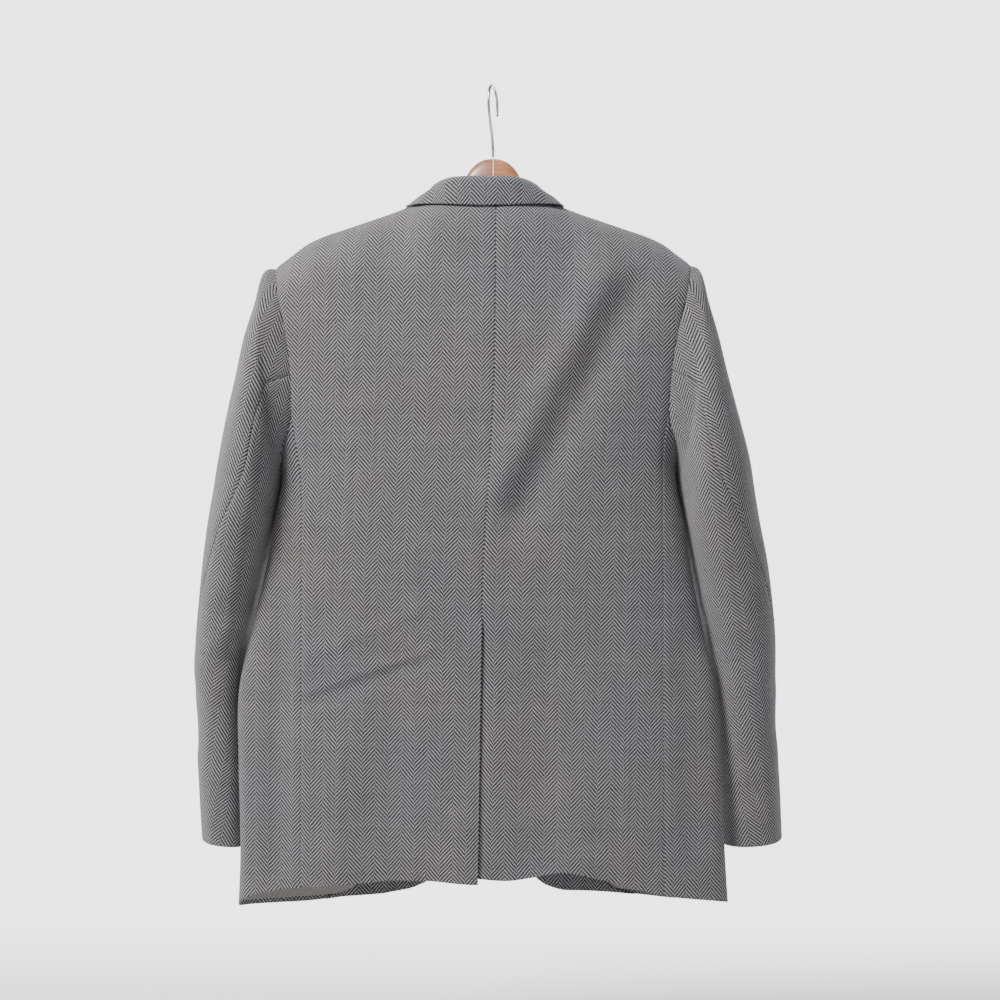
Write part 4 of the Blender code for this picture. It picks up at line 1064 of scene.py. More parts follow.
# ---------------------------------------------------------------- sleeve pieces
def sleeve_fold_height(side, angles, points):
    """Soft folds, by angle and height; the two sleeves carry them a little differently."""
    unrolled = math.radians(1) * SLEEVE_ROUND
    table = np.array(SLEEVE_FOLDS) * (unrolled, 1, unrolled, 1, 1, 1)
    return folds(table, angles * SLEEVE_ROUND, points[..., 2] - SLEEVE_SHIFT * (side < 0))


def true_angles(side, knots, lines, points):
    """Angle of each point round the sleeve, whatever the twist of its grid."""
    picked = sleeve_columns(side)[[1, 3, 4, 5]]
    outer, inner, mid_y, half = (
        np.interp(lines, knots, np.append(values[:1], values))[:, None] for values in picked
    )
    along = (side * points[..., 0] * 2 - outer - inner) / (outer - inner)
    return np.mod(np.arctan2((points[..., 1] - mid_y) / half, along), 2 * np.pi)


def sleeve(side, finish):
    """Top sleeve and under sleeve, split at the hind and fore arm seams."""
    top_rows = 1 + grid_lines(0, 1, ARMHOLE_HEIGHT, SLEEVE_STEP, first=False, last=False)
    under_arm = grid_lines(1, 2, SIDE_ACROSS, SLEEVE_STEP, first=False, last=False)
    loop, loop_normals = armhole_loop(side, top_rows, under_arm)
    angles = sleeve_angles(loop)
    rings = sleeve_rings(side, angles)
    frame_normals = ring_normals(np.concatenate([loop[None], rings]), side)
    run = rings[0] - loop
    run -= loop_normals * np.sum(run * loop_normals, axis=-1, keepdims=True)
    run /= np.linalg.norm(run, axis=-1, keepdims=True)
    lying = smooth_step(np.sum(frame_normals[0] * loop_normals, axis=-1, keepdims=True), 0.2, 0.5)
    head = loop + 2 * HALF_GAP * mix(loop_normals, run, lying)
    coarse = np.concatenate([head[None], rings])
    chords = np.linalg.norm(np.diff(coarse, axis=0), axis=-1).mean(axis=1)
    knots = np.concatenate([[0], np.cumsum(chords)])
    seams = [int(np.argmin(np.abs(angles - math.radians(a)))) for a in (HIND_SEAM, FORE_SEAM)]
    hind, fore = seams
    lines = grid_lines(0, knots[-1], knots[-1], SLEEVE_STEP)
    pieces = []
    top = np.arange(fore, hind + len(angles) + 1) % len(angles)
    for part, picked in (("top", top), ("under", np.arange(hind, fore + 1))):
        columns_here, blend = refine(coarse[:, picked], 2)
        wide = np.interp(blend, np.arange(len(picked)), np.unwrap(angles[picked]))
        away = arcs(columns_here, 1).mean(axis=0)
        from_hind = away[-1] - away if part == "top" else away
        corner = np.clip(CUFF_CORNER - from_hind, 0, CUFF_CORNER)
        cut = CUFF_CORNER - np.sqrt(CUFF_CORNER**2 - corner**2)
        at = lines[:, None] * (1 - 0.6 * cut / knots[-1])
        points = spline(columns_here, knots, at)
        normals = tube_normals(points, side)
        blend_head = (1 - smooth_step(at, 0.0, SLEEVE_HEAD_BLEND))[..., None]
        head_normals, _ = refine(loop_normals[None, picked], 2)
        normals = normals * (1 - blend_head) + head_normals * blend_head
        normals /= np.linalg.norm(normals, axis=-1, keepdims=True)
        height = seam_relief(points, ("first", "last"), depth=SLEEVE_SEAM_DEPTH)
        above = knots[-1] - at
        open_vent = 1 - smooth_step(above, CUFF_VENT - 0.01, CUFF_VENT)
        from_hind = edge_distance(points, "last" if part == "top" else "first")
        near = np.exp(-((from_hind / (SEAM_WIDTH * 2)) ** 2))
        height += open_vent * near * (CUFF_VENT_LAP if part == "top" else -CUFF_VENT_LAP)
        crown = np.clip(np.cos(wide), 0, 1) ** 0.5
        bump = np.exp(-(((at - SLEEVE_BUMP_AT) / SLEEVE_BUMP_WIDTH) ** 2))
        height += SLEEVE_BUMP * bump * crown
        height -= SLEEVE_HEAD_SINK * np.exp(-((at / SLEEVE_HEAD_WIDTH) ** 2))
        height += sleeve_fold_height(side, true_angles(side, knots, lines, points), points)
        points = raised(points, normals, height)
        name = "%s_arm_%s" % (part, side_name(side))
        uv = sleeve_uv(points, side, part)
        piece = wall(name, points, normals, uv, CLOTH, finish, ("top",))
        pieces.append((piece, "%s_sleeve_%s" % (part, side_name(side))))
    return pieces


def refine(grid, times):
    """More columns of a grid, by a smooth curve through those it has."""
    count = grid.shape[1]
    at = np.linspace(0, count - 1, (count - 1) * times + 1)
    turned = np.swapaxes(grid, 0, 1)
    places = np.broadcast_to(at[:, None], (len(at), grid.shape[0]))
    fine = spline(turned, np.arange(count, dtype=float), places)
    return np.swapaxes(fine, 0, 1), at


def tube_normals(points, side):
    """Normals of an open piece of a tube."""
    across = np.gradient(points, axis=1)
    down = np.gradient(points, axis=0)
    normal = side * np.cross(down, across)
    return normal / np.maximum(np.linalg.norm(normal, axis=-1, keepdims=True), 1e-12)


# ---------------------------------------------------------------- collar, lapels, pockets
def clear_of_body(points, least):
    """Moves points out until they stand at least this far over the body."""
    face = np.where(points[..., 1] > middle_y(points[..., 0], points[..., 2]), 1.0, -1.0)
    slope = level_change(face, points) / (2 * PROBE)
    steep = np.linalg.norm(slope, axis=-1)
    height = level(face, points[..., 0], points[..., 1], points[..., 2]) / steep
    short = np.clip(least - height, 0, 0.006)
    return points + slope / steep[..., None] * short[..., None]


def collar(finish):
    """One piece: up from the neck seam, over the fold and down to the leaf edge."""
    lines = []
    for row in COLLAR:
        fold = np.array(row[0:3])
        leaf = sheet(float(row[5]), np.array(row[3] + 0.0), np.array(row[4]))
        lift = COLLAR_HUG if row[5] > 0 else LAPEL_LIFT
        leaf = leaf + outward(float(row[5]), leaf) * lift
        neck = np.array(row[6:9])
        aside = leaf - neck
        aside[2] = 0
        aside = aside / np.linalg.norm(aside)
        down = np.array([0, 0, COLLAR_BEND])
        stand_top = fold - aside * COLLAR_BEND - down
        fold_out = fold + aside * COLLAR_BEND - down
        mid = (fold_out + leaf) / 2 + (aside * COLLAR_BEND + down) / 2
        lines.append([neck, (neck + stand_top) / 2, stand_top, fold, fold_out, mid, leaf])
    half = np.array(lines)
    wider = np.where(np.array(COLLAR)[:, 5] > 0, COLLAR_WIDER_RIGHT, 1.0)[:, None]
    mirrored = half.copy()
    mirrored[..., 0] *= -wider
    mirrored = mirrored[:0:-1]
    grid = np.concatenate([mirrored, half]) + np.array([AXIS_X / 2, 0, 0])
    grid = np.swapaxes(grid, 0, 1)
    fine, _ = refine(grid, 9)
    chords = np.linalg.norm(np.diff(fine, axis=0), axis=-1).mean(axis=1)
    knots = np.concatenate([[0], np.cumsum(chords)])
    lines = grid_lines(0, knots[-1], knots[-1], COLLAR_STEP, first=False)
    at = np.broadcast_to(lines[:, None], (len(lines), fine.shape[1]))
    points = spline(fine, knots, at)
    fall = smooth_step(at, knots[-3], knots[-1] - 0.004)
    points = mix(points, clear_of_body(points, COLLAR_HUG), fall[..., None])
    across = np.gradient(points, axis=1)
    along = np.gradient(points, axis=0)
    normals = np.cross(across, along)
    normals = normals / np.linalg.norm(normals, axis=-1, keepdims=True)
    inside = np.mean(normals[-6:, points.shape[1] // 2, 1]) < 0
    normals = -normals if inside else normals
    middle = points.shape[1] // 2
    round_way = arcs(points, 1, skip=2)
    u = round_way - round_way[:, middle : middle + 1]
    uv = np.stack([u, arcs(points, 0)], axis=-1)
    return wall("collar_roll", points, normals, uv, CLOTH, finish, ("first", "last", "top"))


def lapel(side, finish):
    """The lapel rolls out from its break and lies on the front."""
    start = LAPEL_START[side_name(side)]
    steps = grid_lines(start, 1, LAPEL_HEIGHT, FRONT_STEP, first=False)
    across = grid_lines(0, 1, LAPEL_ACROSS, FRONT_STEP, first=False)
    part, out = np.meshgrid(steps, across, indexing="ij")
    roll_z = mix(BREAK_Z, GORGE[1], part)
    roll_x = edge_x(roll_z)
    if side < 0:
        roll_x = np.maximum(roll_x, LAYER * 3 - roll_x)
    tip_x = mix(-FRONT_LAP, LAPEL_TIP[0], part) + LAPEL_BELLY * np.sin(np.pi * part)
    tip_z = mix(BREAK_Z, LAPEL_TIP[1], part)
    x = AXIS_X + side * (mix(roll_x, tip_x, out) + LAYER)
    z = mix(roll_z, tip_z, out) - 2 * LAYER
    points = sheet(-1.0, x, z)
    normals = outward(-1.0, points)
    rolled = np.sin(np.pi * out) * part
    lift = mix(ROLL_LIFT, LAPEL_LIFT, smooth_step(out, 0, 0.3)) + LAPEL_ROLL * rolled
    points = raised(points, normals, lift)
    uv = flat_uv(points)
    uv[..., 0] = arcs(points, 1)[:, -1:] - arcs(points, 1)
    rounded = ("last", "top")
    return wall("lapel_roll_" + side_name(side), points, normals, uv, CLOTH, finish, rounded)


def pocket_flap(side, finish):
    """A slanting flap: its top edge falls towards the side seam."""
    rows = grid_lines(1, 0, FLAP_DEPTH, FRONT_STEP / 2)
    places = grid_lines(0, 1, FLAP_ACROSS, FRONT_STEP / 2)
    across, down = np.meshgrid(places, rows)
    slant = mix(FLAP_FRONT[1], FLAP_BACK[1], across)
    corner = 1 - FLAP_CORNER * np.abs(2 * across - 1) ** 8
    x = mix(FLAP_FRONT[0], FLAP_BACK[0], across) + FLAP_LEAN * down
    z = slant - FLAP_DEPTH * down * corner
    points = sheet(-1.0, AXIS_X + side * x, z)
    normals = outward(-1.0, points)
    lift = CLOTH + LAYER * 2.5
    sunk = -0.0010 * np.exp(-((edge_distance(points, "top") / 0.003) ** 2))
    points = raised(points, normals, sunk)
    uv = np.stack([np.abs(points[..., 0] - AXIS_X), points[..., 2]], axis=-1)
    edges = ("first", "last", "bottom")
    return wall("flap_" + side_name(side), points, normals, uv, CLOTH, finish, edges, lift=lift)


# ---------------------------------------------------------------- buttons and buttonholes
def button_seat(node_name):
    """Middle of the button's underside, its outward axis and its radius, from the fixed frame."""
    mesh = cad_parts[node_name].data
    points = np.zeros(len(mesh.vertices) * 3)
    mesh.vertices.foreach_get("co", points)
    points = points.reshape(-1, 3)
    centre = (points.max(axis=0) + points.min(axis=0)) / 2
    axis = np.linalg.svd(points - points.mean(axis=0))[2][2]
    away = np.linalg.norm(np.cross(points - centre, axis), axis=1)
    rim = points[away > 0.97 * away.max()].mean(axis=0)
    height = (points - centre) @ axis
    middle = (height.max() + height.min()) / 2
    axis = axis if (rim - centre) @ axis > middle else -axis
    height = (points - centre) @ axis
    return centre + axis * height.min(), axis, away.max()


def across_axis(axis, up=(0.0, 0.0, 1.0)):
    """Two directions in the plane of a button, the second as near upwards as it can be."""
    first = np.cross(up, axis)
    first = first / np.linalg.norm(first)
    return first, np.cross(axis, first)


def turned_button(name, seat, finish):
    """A turned disc with a raised rim, a dished middle and four holes."""
    spot, axis, radius = seat
    profile = np.array(BUTTON_PROFILE) * radius
    angles = np.linspace(0, 2 * np.pi, BUTTON_SIDES, endpoint=False)
    ring = np.stack([np.cos(angles), np.sin(angles)], axis=-1)
    verts = [[0.0, 0.0, profile[0, 1]]]
    for away, height in profile[1:-1]:
        verts += [[x * away, y * away, height] for x, y in ring]
    verts.append([0.0, 0.0, profile[-1, 1]])
    count = BUTTON_SIDES
    faces = [[0, 1 + i, 1 + (i + 1) % count] for i in range(count)]
    for band in range(len(profile) - 3):
        low, high = 1 + band * count, 1 + (band + 1) * count
        for i in range(count):
            j = (i + 1) % count
            faces.append([low + i, high + i, high + j, low + j])
    last = 1 + (len(profile) - 3) * count
    faces += [[last + i, len(verts) - 1, last + (i + 1) % count] for i in range(count)]
    disc = bpy.data.meshes.new(name)
    disc.from_pydata(verts, [], faces)
    drill = bpy.data.meshes.new("drill")
    drill_verts, drill_faces = [], []
    sides = HOLE_SIDES
    for hole_x, hole_y in ((1, 1), (1, -1), (-1, -1), (-1, 1)):
        start = len(drill_verts)
        for height in (-0.2 * radius, 0.6 * radius):
            for i in range(sides):
                turn = 2 * math.pi * i / sides
                x = HOLE_AT * radius * hole_x + HOLE_RADIUS * radius * math.cos(turn)
                y = HOLE_AT * radius * hole_y + HOLE_RADIUS * radius * math.sin(turn)
                drill_verts.append([x, y, height])
        drill_faces.append(list(range(start + sides - 1, start - 1, -1)))
        drill_faces.append(list(range(start + sides, start + 2 * sides)))
        for i in range(sides):
            j = (i + 1) % sides
            drill_faces.append([start + i, start + j, start + sides + j, start + sides + i])
    drill.from_pydata(drill_verts, [], drill_faces)
    piece = linked(name + "_blank", disc)
    cutter = linked("drill", drill)
    cut = piece.modifiers.new("holes", "BOOLEAN")
    cut.object = cutter
    cut.solver = "EXACT"
    graph = bpy.context.evaluated_depsgraph_get()
    mesh = bpy.data.meshes.new_from_object(piece.evaluated_get(graph))
    bpy.data.objects.remove(piece)
    bpy.data.objects.remove(cutter)
    side_way, up_way = across_axis(axis)
    points = np.zeros(len(mesh.vertices) * 3)
    mesh.vertices.foreach_get("co", points)
    points = points.reshape(-1, 3) @ np.stack([side_way, up_way, axis]) + spot
    mesh.vertices.foreach_set("co", points.ravel())
    mesh.materials.clear()
    mesh.materials.append(finish)
    mesh.shade_smooth()
    mesh.set_sharp_from_angle(angle=math.radians(38))
    mesh.update()
    return linked(name, mesh)


def tube(name, path, radius, sides, finish, flat_normal):
    """A round bar along a path, with domed ends."""
    path = np.asarray(path, float)
    tangents = np.gradient(path, axis=0)
    tangents /= np.linalg.norm(tangents, axis=1, keepdims=True)
    first = np.cross(tangents, flat_normal)
    first /= np.linalg.norm(first, axis=1, keepdims=True)
    second = np.cross(tangents, first)
    dome = [(math.cos(turn), math.sin(turn)) for turn in np.radians(DOME_TURNS)]
    last = len(path) - 1
    rings = [(path[0] - tangents[0] * radius * off, size, 0) for off, size in dome]
    rings += [(point, 1.0, number) for number, point in enumerate(path)]
    rings += [(path[-1] + tangents[-1] * radius * off, size, last) for off, size in reversed(dome)]
    verts = []
    for centre, size, number in rings:
        for angle in np.linspace(0, 2 * np.pi, sides, endpoint=False):
            way = first[number] * math.cos(angle) + second[number] * math.sin(angle)
            verts.append(centre + way * radius * size)
    return closed_tube(name, verts, sides, finish)


def closed_tube(name, verts, sides, finish):
    """A tube over rings of points, with both ends capped and its faces turned outwards."""
    rings = len(verts) // sides
    faces = []
    for start in range(0, (rings - 1) * sides, sides):
        for i in range(sides):
            a, b = start + i, start + (i + 1) % sides
            faces.append([a, b, b + sides, a + sides])
    mesh = bpy.data.meshes.new(name)
    caps = [list(range(sides - 1, -1, -1)), list(range((rings - 1) * sides, rings * sides))]
    mesh.from_pydata([list(v) for v in verts], [], faces + caps)
    volume = 0.0
    points = np.array(verts, float)
    for face in faces:
        a, b, c, d = points[face]
        volume += np.dot(a, np.cross(b, c)) + np.dot(a, np.cross(c, d))
    if volume < 0:
        mesh.flip_normals()
    mesh.shade_smooth()
    mesh.set_sharp_from_angle(angle=math.radians(50))
    mesh.materials.append(finish)
    return linked(name, mesh)


def joined(name, pieces, finish):
    """Several small meshes as one piece."""
    verts, faces = [], []
    for piece in pieces:
        start = len(verts)
        verts += [tuple(v.co) for v in piece.data.vertices]
        faces += [[start + i for i in face.vertices] for face in piece.data.polygons]
        bpy.data.objects.remove(piece)
    mesh = bpy.data.meshes.new(name)
    mesh.from_pydata(verts, [], faces)
    mesh.shade_smooth()
    mesh.materials.append(finish)
    return linked(name, mesh)


def button_threads(name, seats, finish):
    """Two bars of thread over the middle of each button."""
    bars = []
    for spot, axis, radius in seats:
        side_way, up_way = across_axis(axis)
        top = spot + axis * radius * DISH_HEIGHT
        for off in (-0.5, 0.0, 0.5):
            for row in (-1, 1):
                start = row * HOLE_AT * radius + off * HOLE_RADIUS * radius
                path = []
                for share in np.linspace(-1, 1, 9):
                    rise = radius * (0.10 * (1 - share**4) - 0.05)
                    across = side_way * start + up_way * share * HOLE_AT * radius
                    path.append(top + across + axis * rise)
                bars.append(tube("thread", path, THREAD_RADIUS, 8, finish, side_way))
    return joined(name, bars, finish)


def stitch_tree(finish):
    """Purl stitches side by side along a path, standing across it."""
    tree = bpy.data.node_groups.new("purl_stitches", "GeometryNodeTree")
    sockets = tree.interface
    sockets.new_socket("Path", in_out="INPUT", socket_type="NodeSocketGeometry")
    for label, default in (("Pitch", 0.0008), ("Purl width", 0.0020), ("Thread radius", 0.0004)):
        socket = sockets.new_socket(label, in_out="INPUT", socket_type="NodeSocketFloat")
        socket.default_value = default
    sockets.new_socket("Stitches", in_out="OUTPUT", socket_type="NodeSocketGeometry")
    given = node(tree, "NodeGroupInput")
    line = node(tree, "GeometryNodeMeshToCurve", {0: given.outputs["Path"]})
    even = node(tree, "GeometryNodeResampleCurve", {"Curve": line.outputs[0]}, mode="LENGTH")
    tree.links.new(given.outputs["Pitch"], even.inputs["Length"])
    named = {"Name": "out"}
    outward_way = node(tree, "GeometryNodeInputNamedAttribute", named, data_type="FLOAT_VECTOR")
    tangent = node(tree, "GeometryNodeInputTangent")
    turn = node(
        tree,
        "FunctionNodeAxesToRotation",
        {0: outward_way.outputs["Attribute"], 1: tangent.outputs[0]},
        primary_axis="Z",
        secondary_axis="X",
    )
    spread = {0: (0.9, 0.85, 0.9), 1: (1.1, 1.15, 1.1), "Seed": 7}
    jitter = node(tree, "FunctionNodeRandomValue", spread, data_type="FLOAT_VECTOR")
    size = node(tree, "ShaderNodeCombineXYZ")
    for place, label in enumerate(("Pitch", "Purl width")):
        halved = node(tree, "ShaderNodeMath", {0: given.outputs[label], 1: 0.5}, operation="MULTIPLY")
        tree.links.new(halved.outputs[0], size.inputs[place])
    tree.links.new(given.outputs["Thread radius"], size.inputs[2])
    sizes = {0: size.outputs[0], 1: jitter.outputs[0]}
    scale = node(tree, "ShaderNodeVectorMath", sizes, operation="MULTIPLY")
    purl = node(tree, "GeometryNodeMeshIcoSphere", {"Radius": 1.0, "Subdivisions": 2})
    row = {"Points": even.outputs[0], "Instance": purl.outputs[0]}
    row |= {"Rotation": turn.outputs[0], "Scale": scale.outputs[0]}
    placed = node(tree, "GeometryNodeInstanceOnPoints", row)
    real = node(tree, "GeometryNodeRealizeInstances", {0: placed.outputs[0]})
    done = node(tree, "GeometryNodeSetMaterial", {"Geometry": real.outputs[0], "Material": finish})
    node(tree, "NodeGroupOutput", {0: done.outputs[0]})
    return tree


def buttonholes(finish):
    """A worked hole under each front button, running back from it across the left front."""
    tree = stitch_tree(finish)
    verts, edges, ways = [], [], []
    for z in BUTTON_Z:
        start = len(verts)
        for turn in np.linspace(0, 2 * np.pi, 72, endpoint=False):
            away = HOLE_LENGTH / 2 * math.cos(turn)
            wide = HOLE_WIDTH * np.sign(math.sin(turn)) * abs(math.sin(turn)) ** 0.5
            x = np.array(AXIS_X + HOLE_LENGTH / 2 - 0.004 + away)
            spot = sheet(-1.0, x, np.array(z + wide))
            way = outward(-1.0, spot)
            verts.append(spot + way * 0.0002 + np.array([JACKET_X, 0, 0]))
            ways.append(way)
        count = len(verts) - start
        edges += [(start + i, start + (i + 1) % count) for i in range(count)]
    mesh = bpy.data.meshes.new("buttonhole_paths")
    mesh.from_pydata([list(v) for v in verts], edges, [])
    layer = mesh.attributes.new("out", "FLOAT_VECTOR", "POINT")
    layer.data.foreach_set("vector", np.array(ways, np.float32).ravel())
    paths = linked("buttonhole_paths", mesh)
    sewn = paths.modifiers.new("purls", "NODES")
    sewn.node_group = tree
    for item in tree.interface.items_tree:
        if item.in_out == "INPUT" and item.name in PURL:
            sewn[item.identifier] = PURL[item.name]
    graph = bpy.context.evaluated_depsgraph_get()
    made = bpy.data.meshes.new_from_object(paths.evaluated_get(graph))
    bpy.data.objects.remove(paths)
    made.shade_smooth()
    return linked("buttonhole_purls", made)


# ---------------------------------------------------------------- hanger
def hanger_half(side, wood):
    """One of the two glued halves: oval sections along the arm, softened at both ends."""
    top_z, bottom_z, thickness = columns(HANGER)
    reach = HANGER[-1][0]
    softened = (0.0, 0.0003, 0.0008, 0.0016)
    places = np.concatenate([softened, np.linspace(0.003, reach, 110)])
    shrink = [0.985, 0.993, 0.998, 1.0] + [1.0] * 110
    places = np.append(places, reach + np.array([0.0012, 0.0022, 0.0028]))
    shrink = shrink + [0.92, 0.72, 0.40]
    angles = np.linspace(0, 2 * np.pi, HANGER_SIDES, endpoint=False)
    along = np.sign(np.sin(angles)) * np.abs(np.sin(angles)) ** HANGER_ROUND
    deep = np.sign(np.cos(angles)) * np.abs(np.cos(angles)) ** HANGER_ROUND
    verts = []
    for x, size in zip(places, shrink):
        at = side * x - JACKET_X
        top, bottom = float(top_z(x)), float(bottom_z(x))
        line = float(ridge_z(abs(at))) - HANGER_UNDER
        blend = float(smooth_step(x, HANGER_REACH - 0.015, HANGER_REACH + 0.015))
        top = mix(top, min(top, line), blend) if x < HANGER_REACH + 0.015 else min(top, line)
        set_back = HANGER_SET_BACK * (1 - min(x / HANGER_BEND, 1))
        centre_y = float(middle_y(at, np.array(top))) + set_back
        y = centre_y + float(thickness(x)) / 2 * deep * size
        z = (top + bottom) / 2 + (top - bottom) / 2 * along * size
        verts += [(side * (x + HALF_GAP), a, b) for a, b in zip(y, z)]
    return closed_tube("hanger_wood_" + side_name(side), verts, HANGER_SIDES, wood)


def hanger_hook(steel):
    """Drawn wire: up from the wood, back round the crook and down to its free end."""
    run = [(0.0, HANGER[0][1] + HOOK_FOOT_GAP), *HOOK_RISE]
    crook_z = WIRE_RADIUS - CROOK_RADIUS
    for number in range(CROOK_STEPS + 1):
        angle = math.pi * number / CROOK_STEPS
        run.append((CROOK_RADIUS * math.cos(angle), crook_z + CROOK_RADIUS * math.sin(angle)))
    run += HOOK_TIP
    flat = np.array(run, float)
    out = np.array([math.sin(CROOK_TURN), math.cos(CROOK_TURN), 0])
    points = flat[:, :1] * out + flat[:, 1:] * np.array([0, 0, 1.0])
    knots = np.concatenate([[0], np.cumsum(np.linalg.norm(np.diff(points, axis=0), axis=1))])
    at = np.linspace(WIRE_RADIUS, knots[-1] - WIRE_RADIUS, 120)[:, None]
    path = spline(points[:, None], knots, at)[:, 0]
    plane = np.array([math.cos(CROOK_TURN), -math.sin(CROOK_TURN), 0])
    return tube("hook_wire", path, WIRE_RADIUS, 24, steel, plane)


# ---------------------------------------------------------------- materials
def linear(code):
    """A linear colour from an sRGB hex code."""
    parts = [int(code[i : i + 2], 16) / 255 for i in (0, 2, 4)]
    return (*((p / 12.92 if p <= 0.04045 else ((p + 0.055) / 1.055) ** 2.4) for p in parts), 1.0)


def node(tree, kind, inputs=None, **settings):
    """Adds a node, sets what it is given and links what comes from another node."""
    made = tree.nodes.new(kind)
    for key, value in settings.items():
        setattr(made, key, value)
    for socket, value in (inputs or {}).items():
        if isinstance(value, bpy.types.NodeSocket):
            tree.links.new(value, made.inputs[socket])
        else:
            made.inputs[socket].default_value = value
    return made


def new_finish(name, **values):
    """A material, its tree and its shader, with the shader's constant values set."""
    finish = bpy.data.materials.new(name)
    finish.use_nodes = True
    shader = finish.node_tree.nodes["Principled BSDF"]
    for key, value in values.items():
        shader.inputs[key.replace("_", " ")].default_value = value
    return finish, finish.node_tree, shader


def herringbone_tweed():
    """Woollen herringbone: pale warp over dark weft, with fibres of both flecked by others.

    Thick carded yarn is hairy and dull, so it takes no highlight and its edges catch the light.
    """
    finish, tree, shader = new_finish(
        "herringbone_tweed",
        Roughness=0.92,
        Specular_IOR_Level=0.18,
        Sheen_Weight=0.22,
        Sheen_Roughness=0.45,
        Sheen_Tint=linear("D9DAE2"),
    )

    place = node(tree, "ShaderNodeUVMap", uv_map="cloth").outputs[0]
    solid = node(tree, "ShaderNodeTexCoord").outputs["Object"]
    # The yarns wander by a quarter of a millimetre.
    soft = node(tree, "ShaderNodeTexNoise", {"Vector": place, "Scale": 55.0, "Detail": 2.0})
    centred = {0: soft.outputs["Color"], 1: (0.5, 0.5, 0.5)}
    centred = node(tree, "ShaderNodeVectorMath", centred, operation="SUBTRACT").outputs[0]
    wander = {0: centred, 1: (0.0016, 0.0022, 0.0)}
    wander = node(tree, "ShaderNodeVectorMath", wander, operation="MULTIPLY").outputs[0]
    woven = node(tree, "ShaderNodeVectorMath", {0: place, 1: wander}, operation="ADD").outputs[0]
    split = node(tree, "ShaderNodeSeparateXYZ", {0: woven})
    weave = {"across": split.outputs[0], "up": split.outputs[1]}
    for result, operation, *sources in WEAVE:
        inputs = {number: weave.get(source, source) for number, source in enumerate(sources)}
        weave[result] = node(tree, "ShaderNodeMath", inputs, operation=operation).outputs[0]
    heights = {0: weave["warp up"], 2: weave["weft height"], 3: weave["warp height"]}
    height = node(tree, "ShaderNodeMix", heights).outputs[0]
    # Flecks of other wools, a millimetre long, and yarns that differ from their neighbours.
    grain = {"Vector": place, "Scale": 950.0, "Detail": 3.0, "Roughness": 0.7}
    grain = node(tree, "ShaderNodeTexNoise", grain).outputs[0]
    fleck = node(tree, "ShaderNodeMapRange", {0: grain, 1: 0.32, 2: 0.68}).outputs[0]
    pale = {0: fleck, 6: linear(TWEED["pale low"]), 7: linear(TWEED["pale high"])}
    pale = node(tree, "ShaderNodeMix", pale, data_type="RGBA").outputs[2]
    dark = {0: fleck, 6: linear(TWEED["dark low"]), 7: linear(TWEED["dark high"])}
    dark = node(tree, "ShaderNodeMix", dark, data_type="RGBA").outputs[2]
    colour = {0: weave["warp up"], 6: dark, 7: pale}
    colour = node(tree, "ShaderNodeMix", colour, data_type="RGBA").outputs[2]
    ends = node(tree, "ShaderNodeTexWhiteNoise", {"W": weave["end"]}, noise_dimensions="1D")
    picks = node(tree, "ShaderNodeTexWhiteNoise", {"W": weave["pick seed"]}, noise_dimensions="1D")
    end_tone = {0: ends.outputs[0], 1: 0.12, 2: 0.94}
    end_tone = node(tree, "ShaderNodeMath", end_tone, operation="MULTIPLY_ADD").outputs[0]
    pick_tone = {0: picks.outputs[0], 1: 0.12, 2: -0.06}
    pick_tone = node(tree, "ShaderNodeMath", pick_tone, operation="MULTIPLY_ADD").outputs[0]
    yarn = node(tree, "ShaderNodeMath", {0: end_tone, 1: pick_tone}, operation="ADD").outputs[0]
    # Wear and dust leave soft clouds a few centimetres across.
    cloud = {"Vector": solid, "Scale": 26.0, "Detail": 3.0, "Roughness": 0.6}
    cloud = node(tree, "ShaderNodeTexNoise", cloud).outputs[0]
    cloud = {0: cloud, 1: 0.3, 2: 0.7, 3: 0.93, 4: 1.06}
    cloud = node(tree, "ShaderNodeMapRange", cloud).outputs[0]
    worn = node(tree, "ShaderNodeMath", {0: yarn, 1: cloud}, operation="MULTIPLY").outputs[0]
    # Painted shade: the colour darkens between the yarns, where the woven relief is low, as if shaded
    # there.
    yarn_gap_shade = {0: height, 1: 0.42, 2: 0.62}
    yarn_gap_shade = node(tree, "ShaderNodeMath", yarn_gap_shade, operation="MULTIPLY_ADD").outputs[0]
    tone = node(tree, "ShaderNodeMath", {0: worn, 1: yarn_gap_shade}, operation="MULTIPLY").outputs[0]
    tint = node(tree, "ShaderNodeTexNoise", {"Vector": solid, "Scale": 9.0, "Detail": 2.0}).outputs[0]
    tint = node(tree, "ShaderNodeMapRange", {0: tint, 1: 0.35, 2: 0.65}).outputs[0]
    tint = {0: tint, 6: linear(TWEED["warm"]), 7: linear(TWEED["cool"])}
    tint = node(tree, "ShaderNodeMix", tint, data_type="RGBA").outputs[2]
    tinted = {0: 1.0, 6: colour, 7: tint}
    tinted = node(tree, "ShaderNodeMix", tinted, data_type="RGBA", blend_type="MULTIPLY").outputs[2]
    grey = node(tree, "ShaderNodeCombineXYZ", {0: tone, 1: tone, 2: tone}).outputs[0]
    final = {0: 1.0, 6: tinted, 7: grey}
    final = node(tree, "ShaderNodeMix", final, data_type="RGBA", blend_type="MULTIPLY").outputs[2]
    tree.links.new(final, shader.inputs["Base Color"])
    fluff = {"Vector": place, "Scale": 700.0, "Detail": 4.0, "Roughness": 0.75}
    fluff = node(tree, "ShaderNodeTexNoise", fluff).outputs[0]
    fluff = node(tree, "ShaderNodeMath", {0: fluff, 1: 0.7}, operation="MULTIPLY").outputs[0]
    relief = node(tree, "ShaderNodeMath", {0: height, 1: fluff}, operation="ADD").outputs[0]
    bump = node(tree, "ShaderNodeBump", {"Strength": 0.75, "Distance": 0.00045, "Height": relief})
    tree.links.new(bump.outputs[0], shader.inputs["Normal"])
    return finish


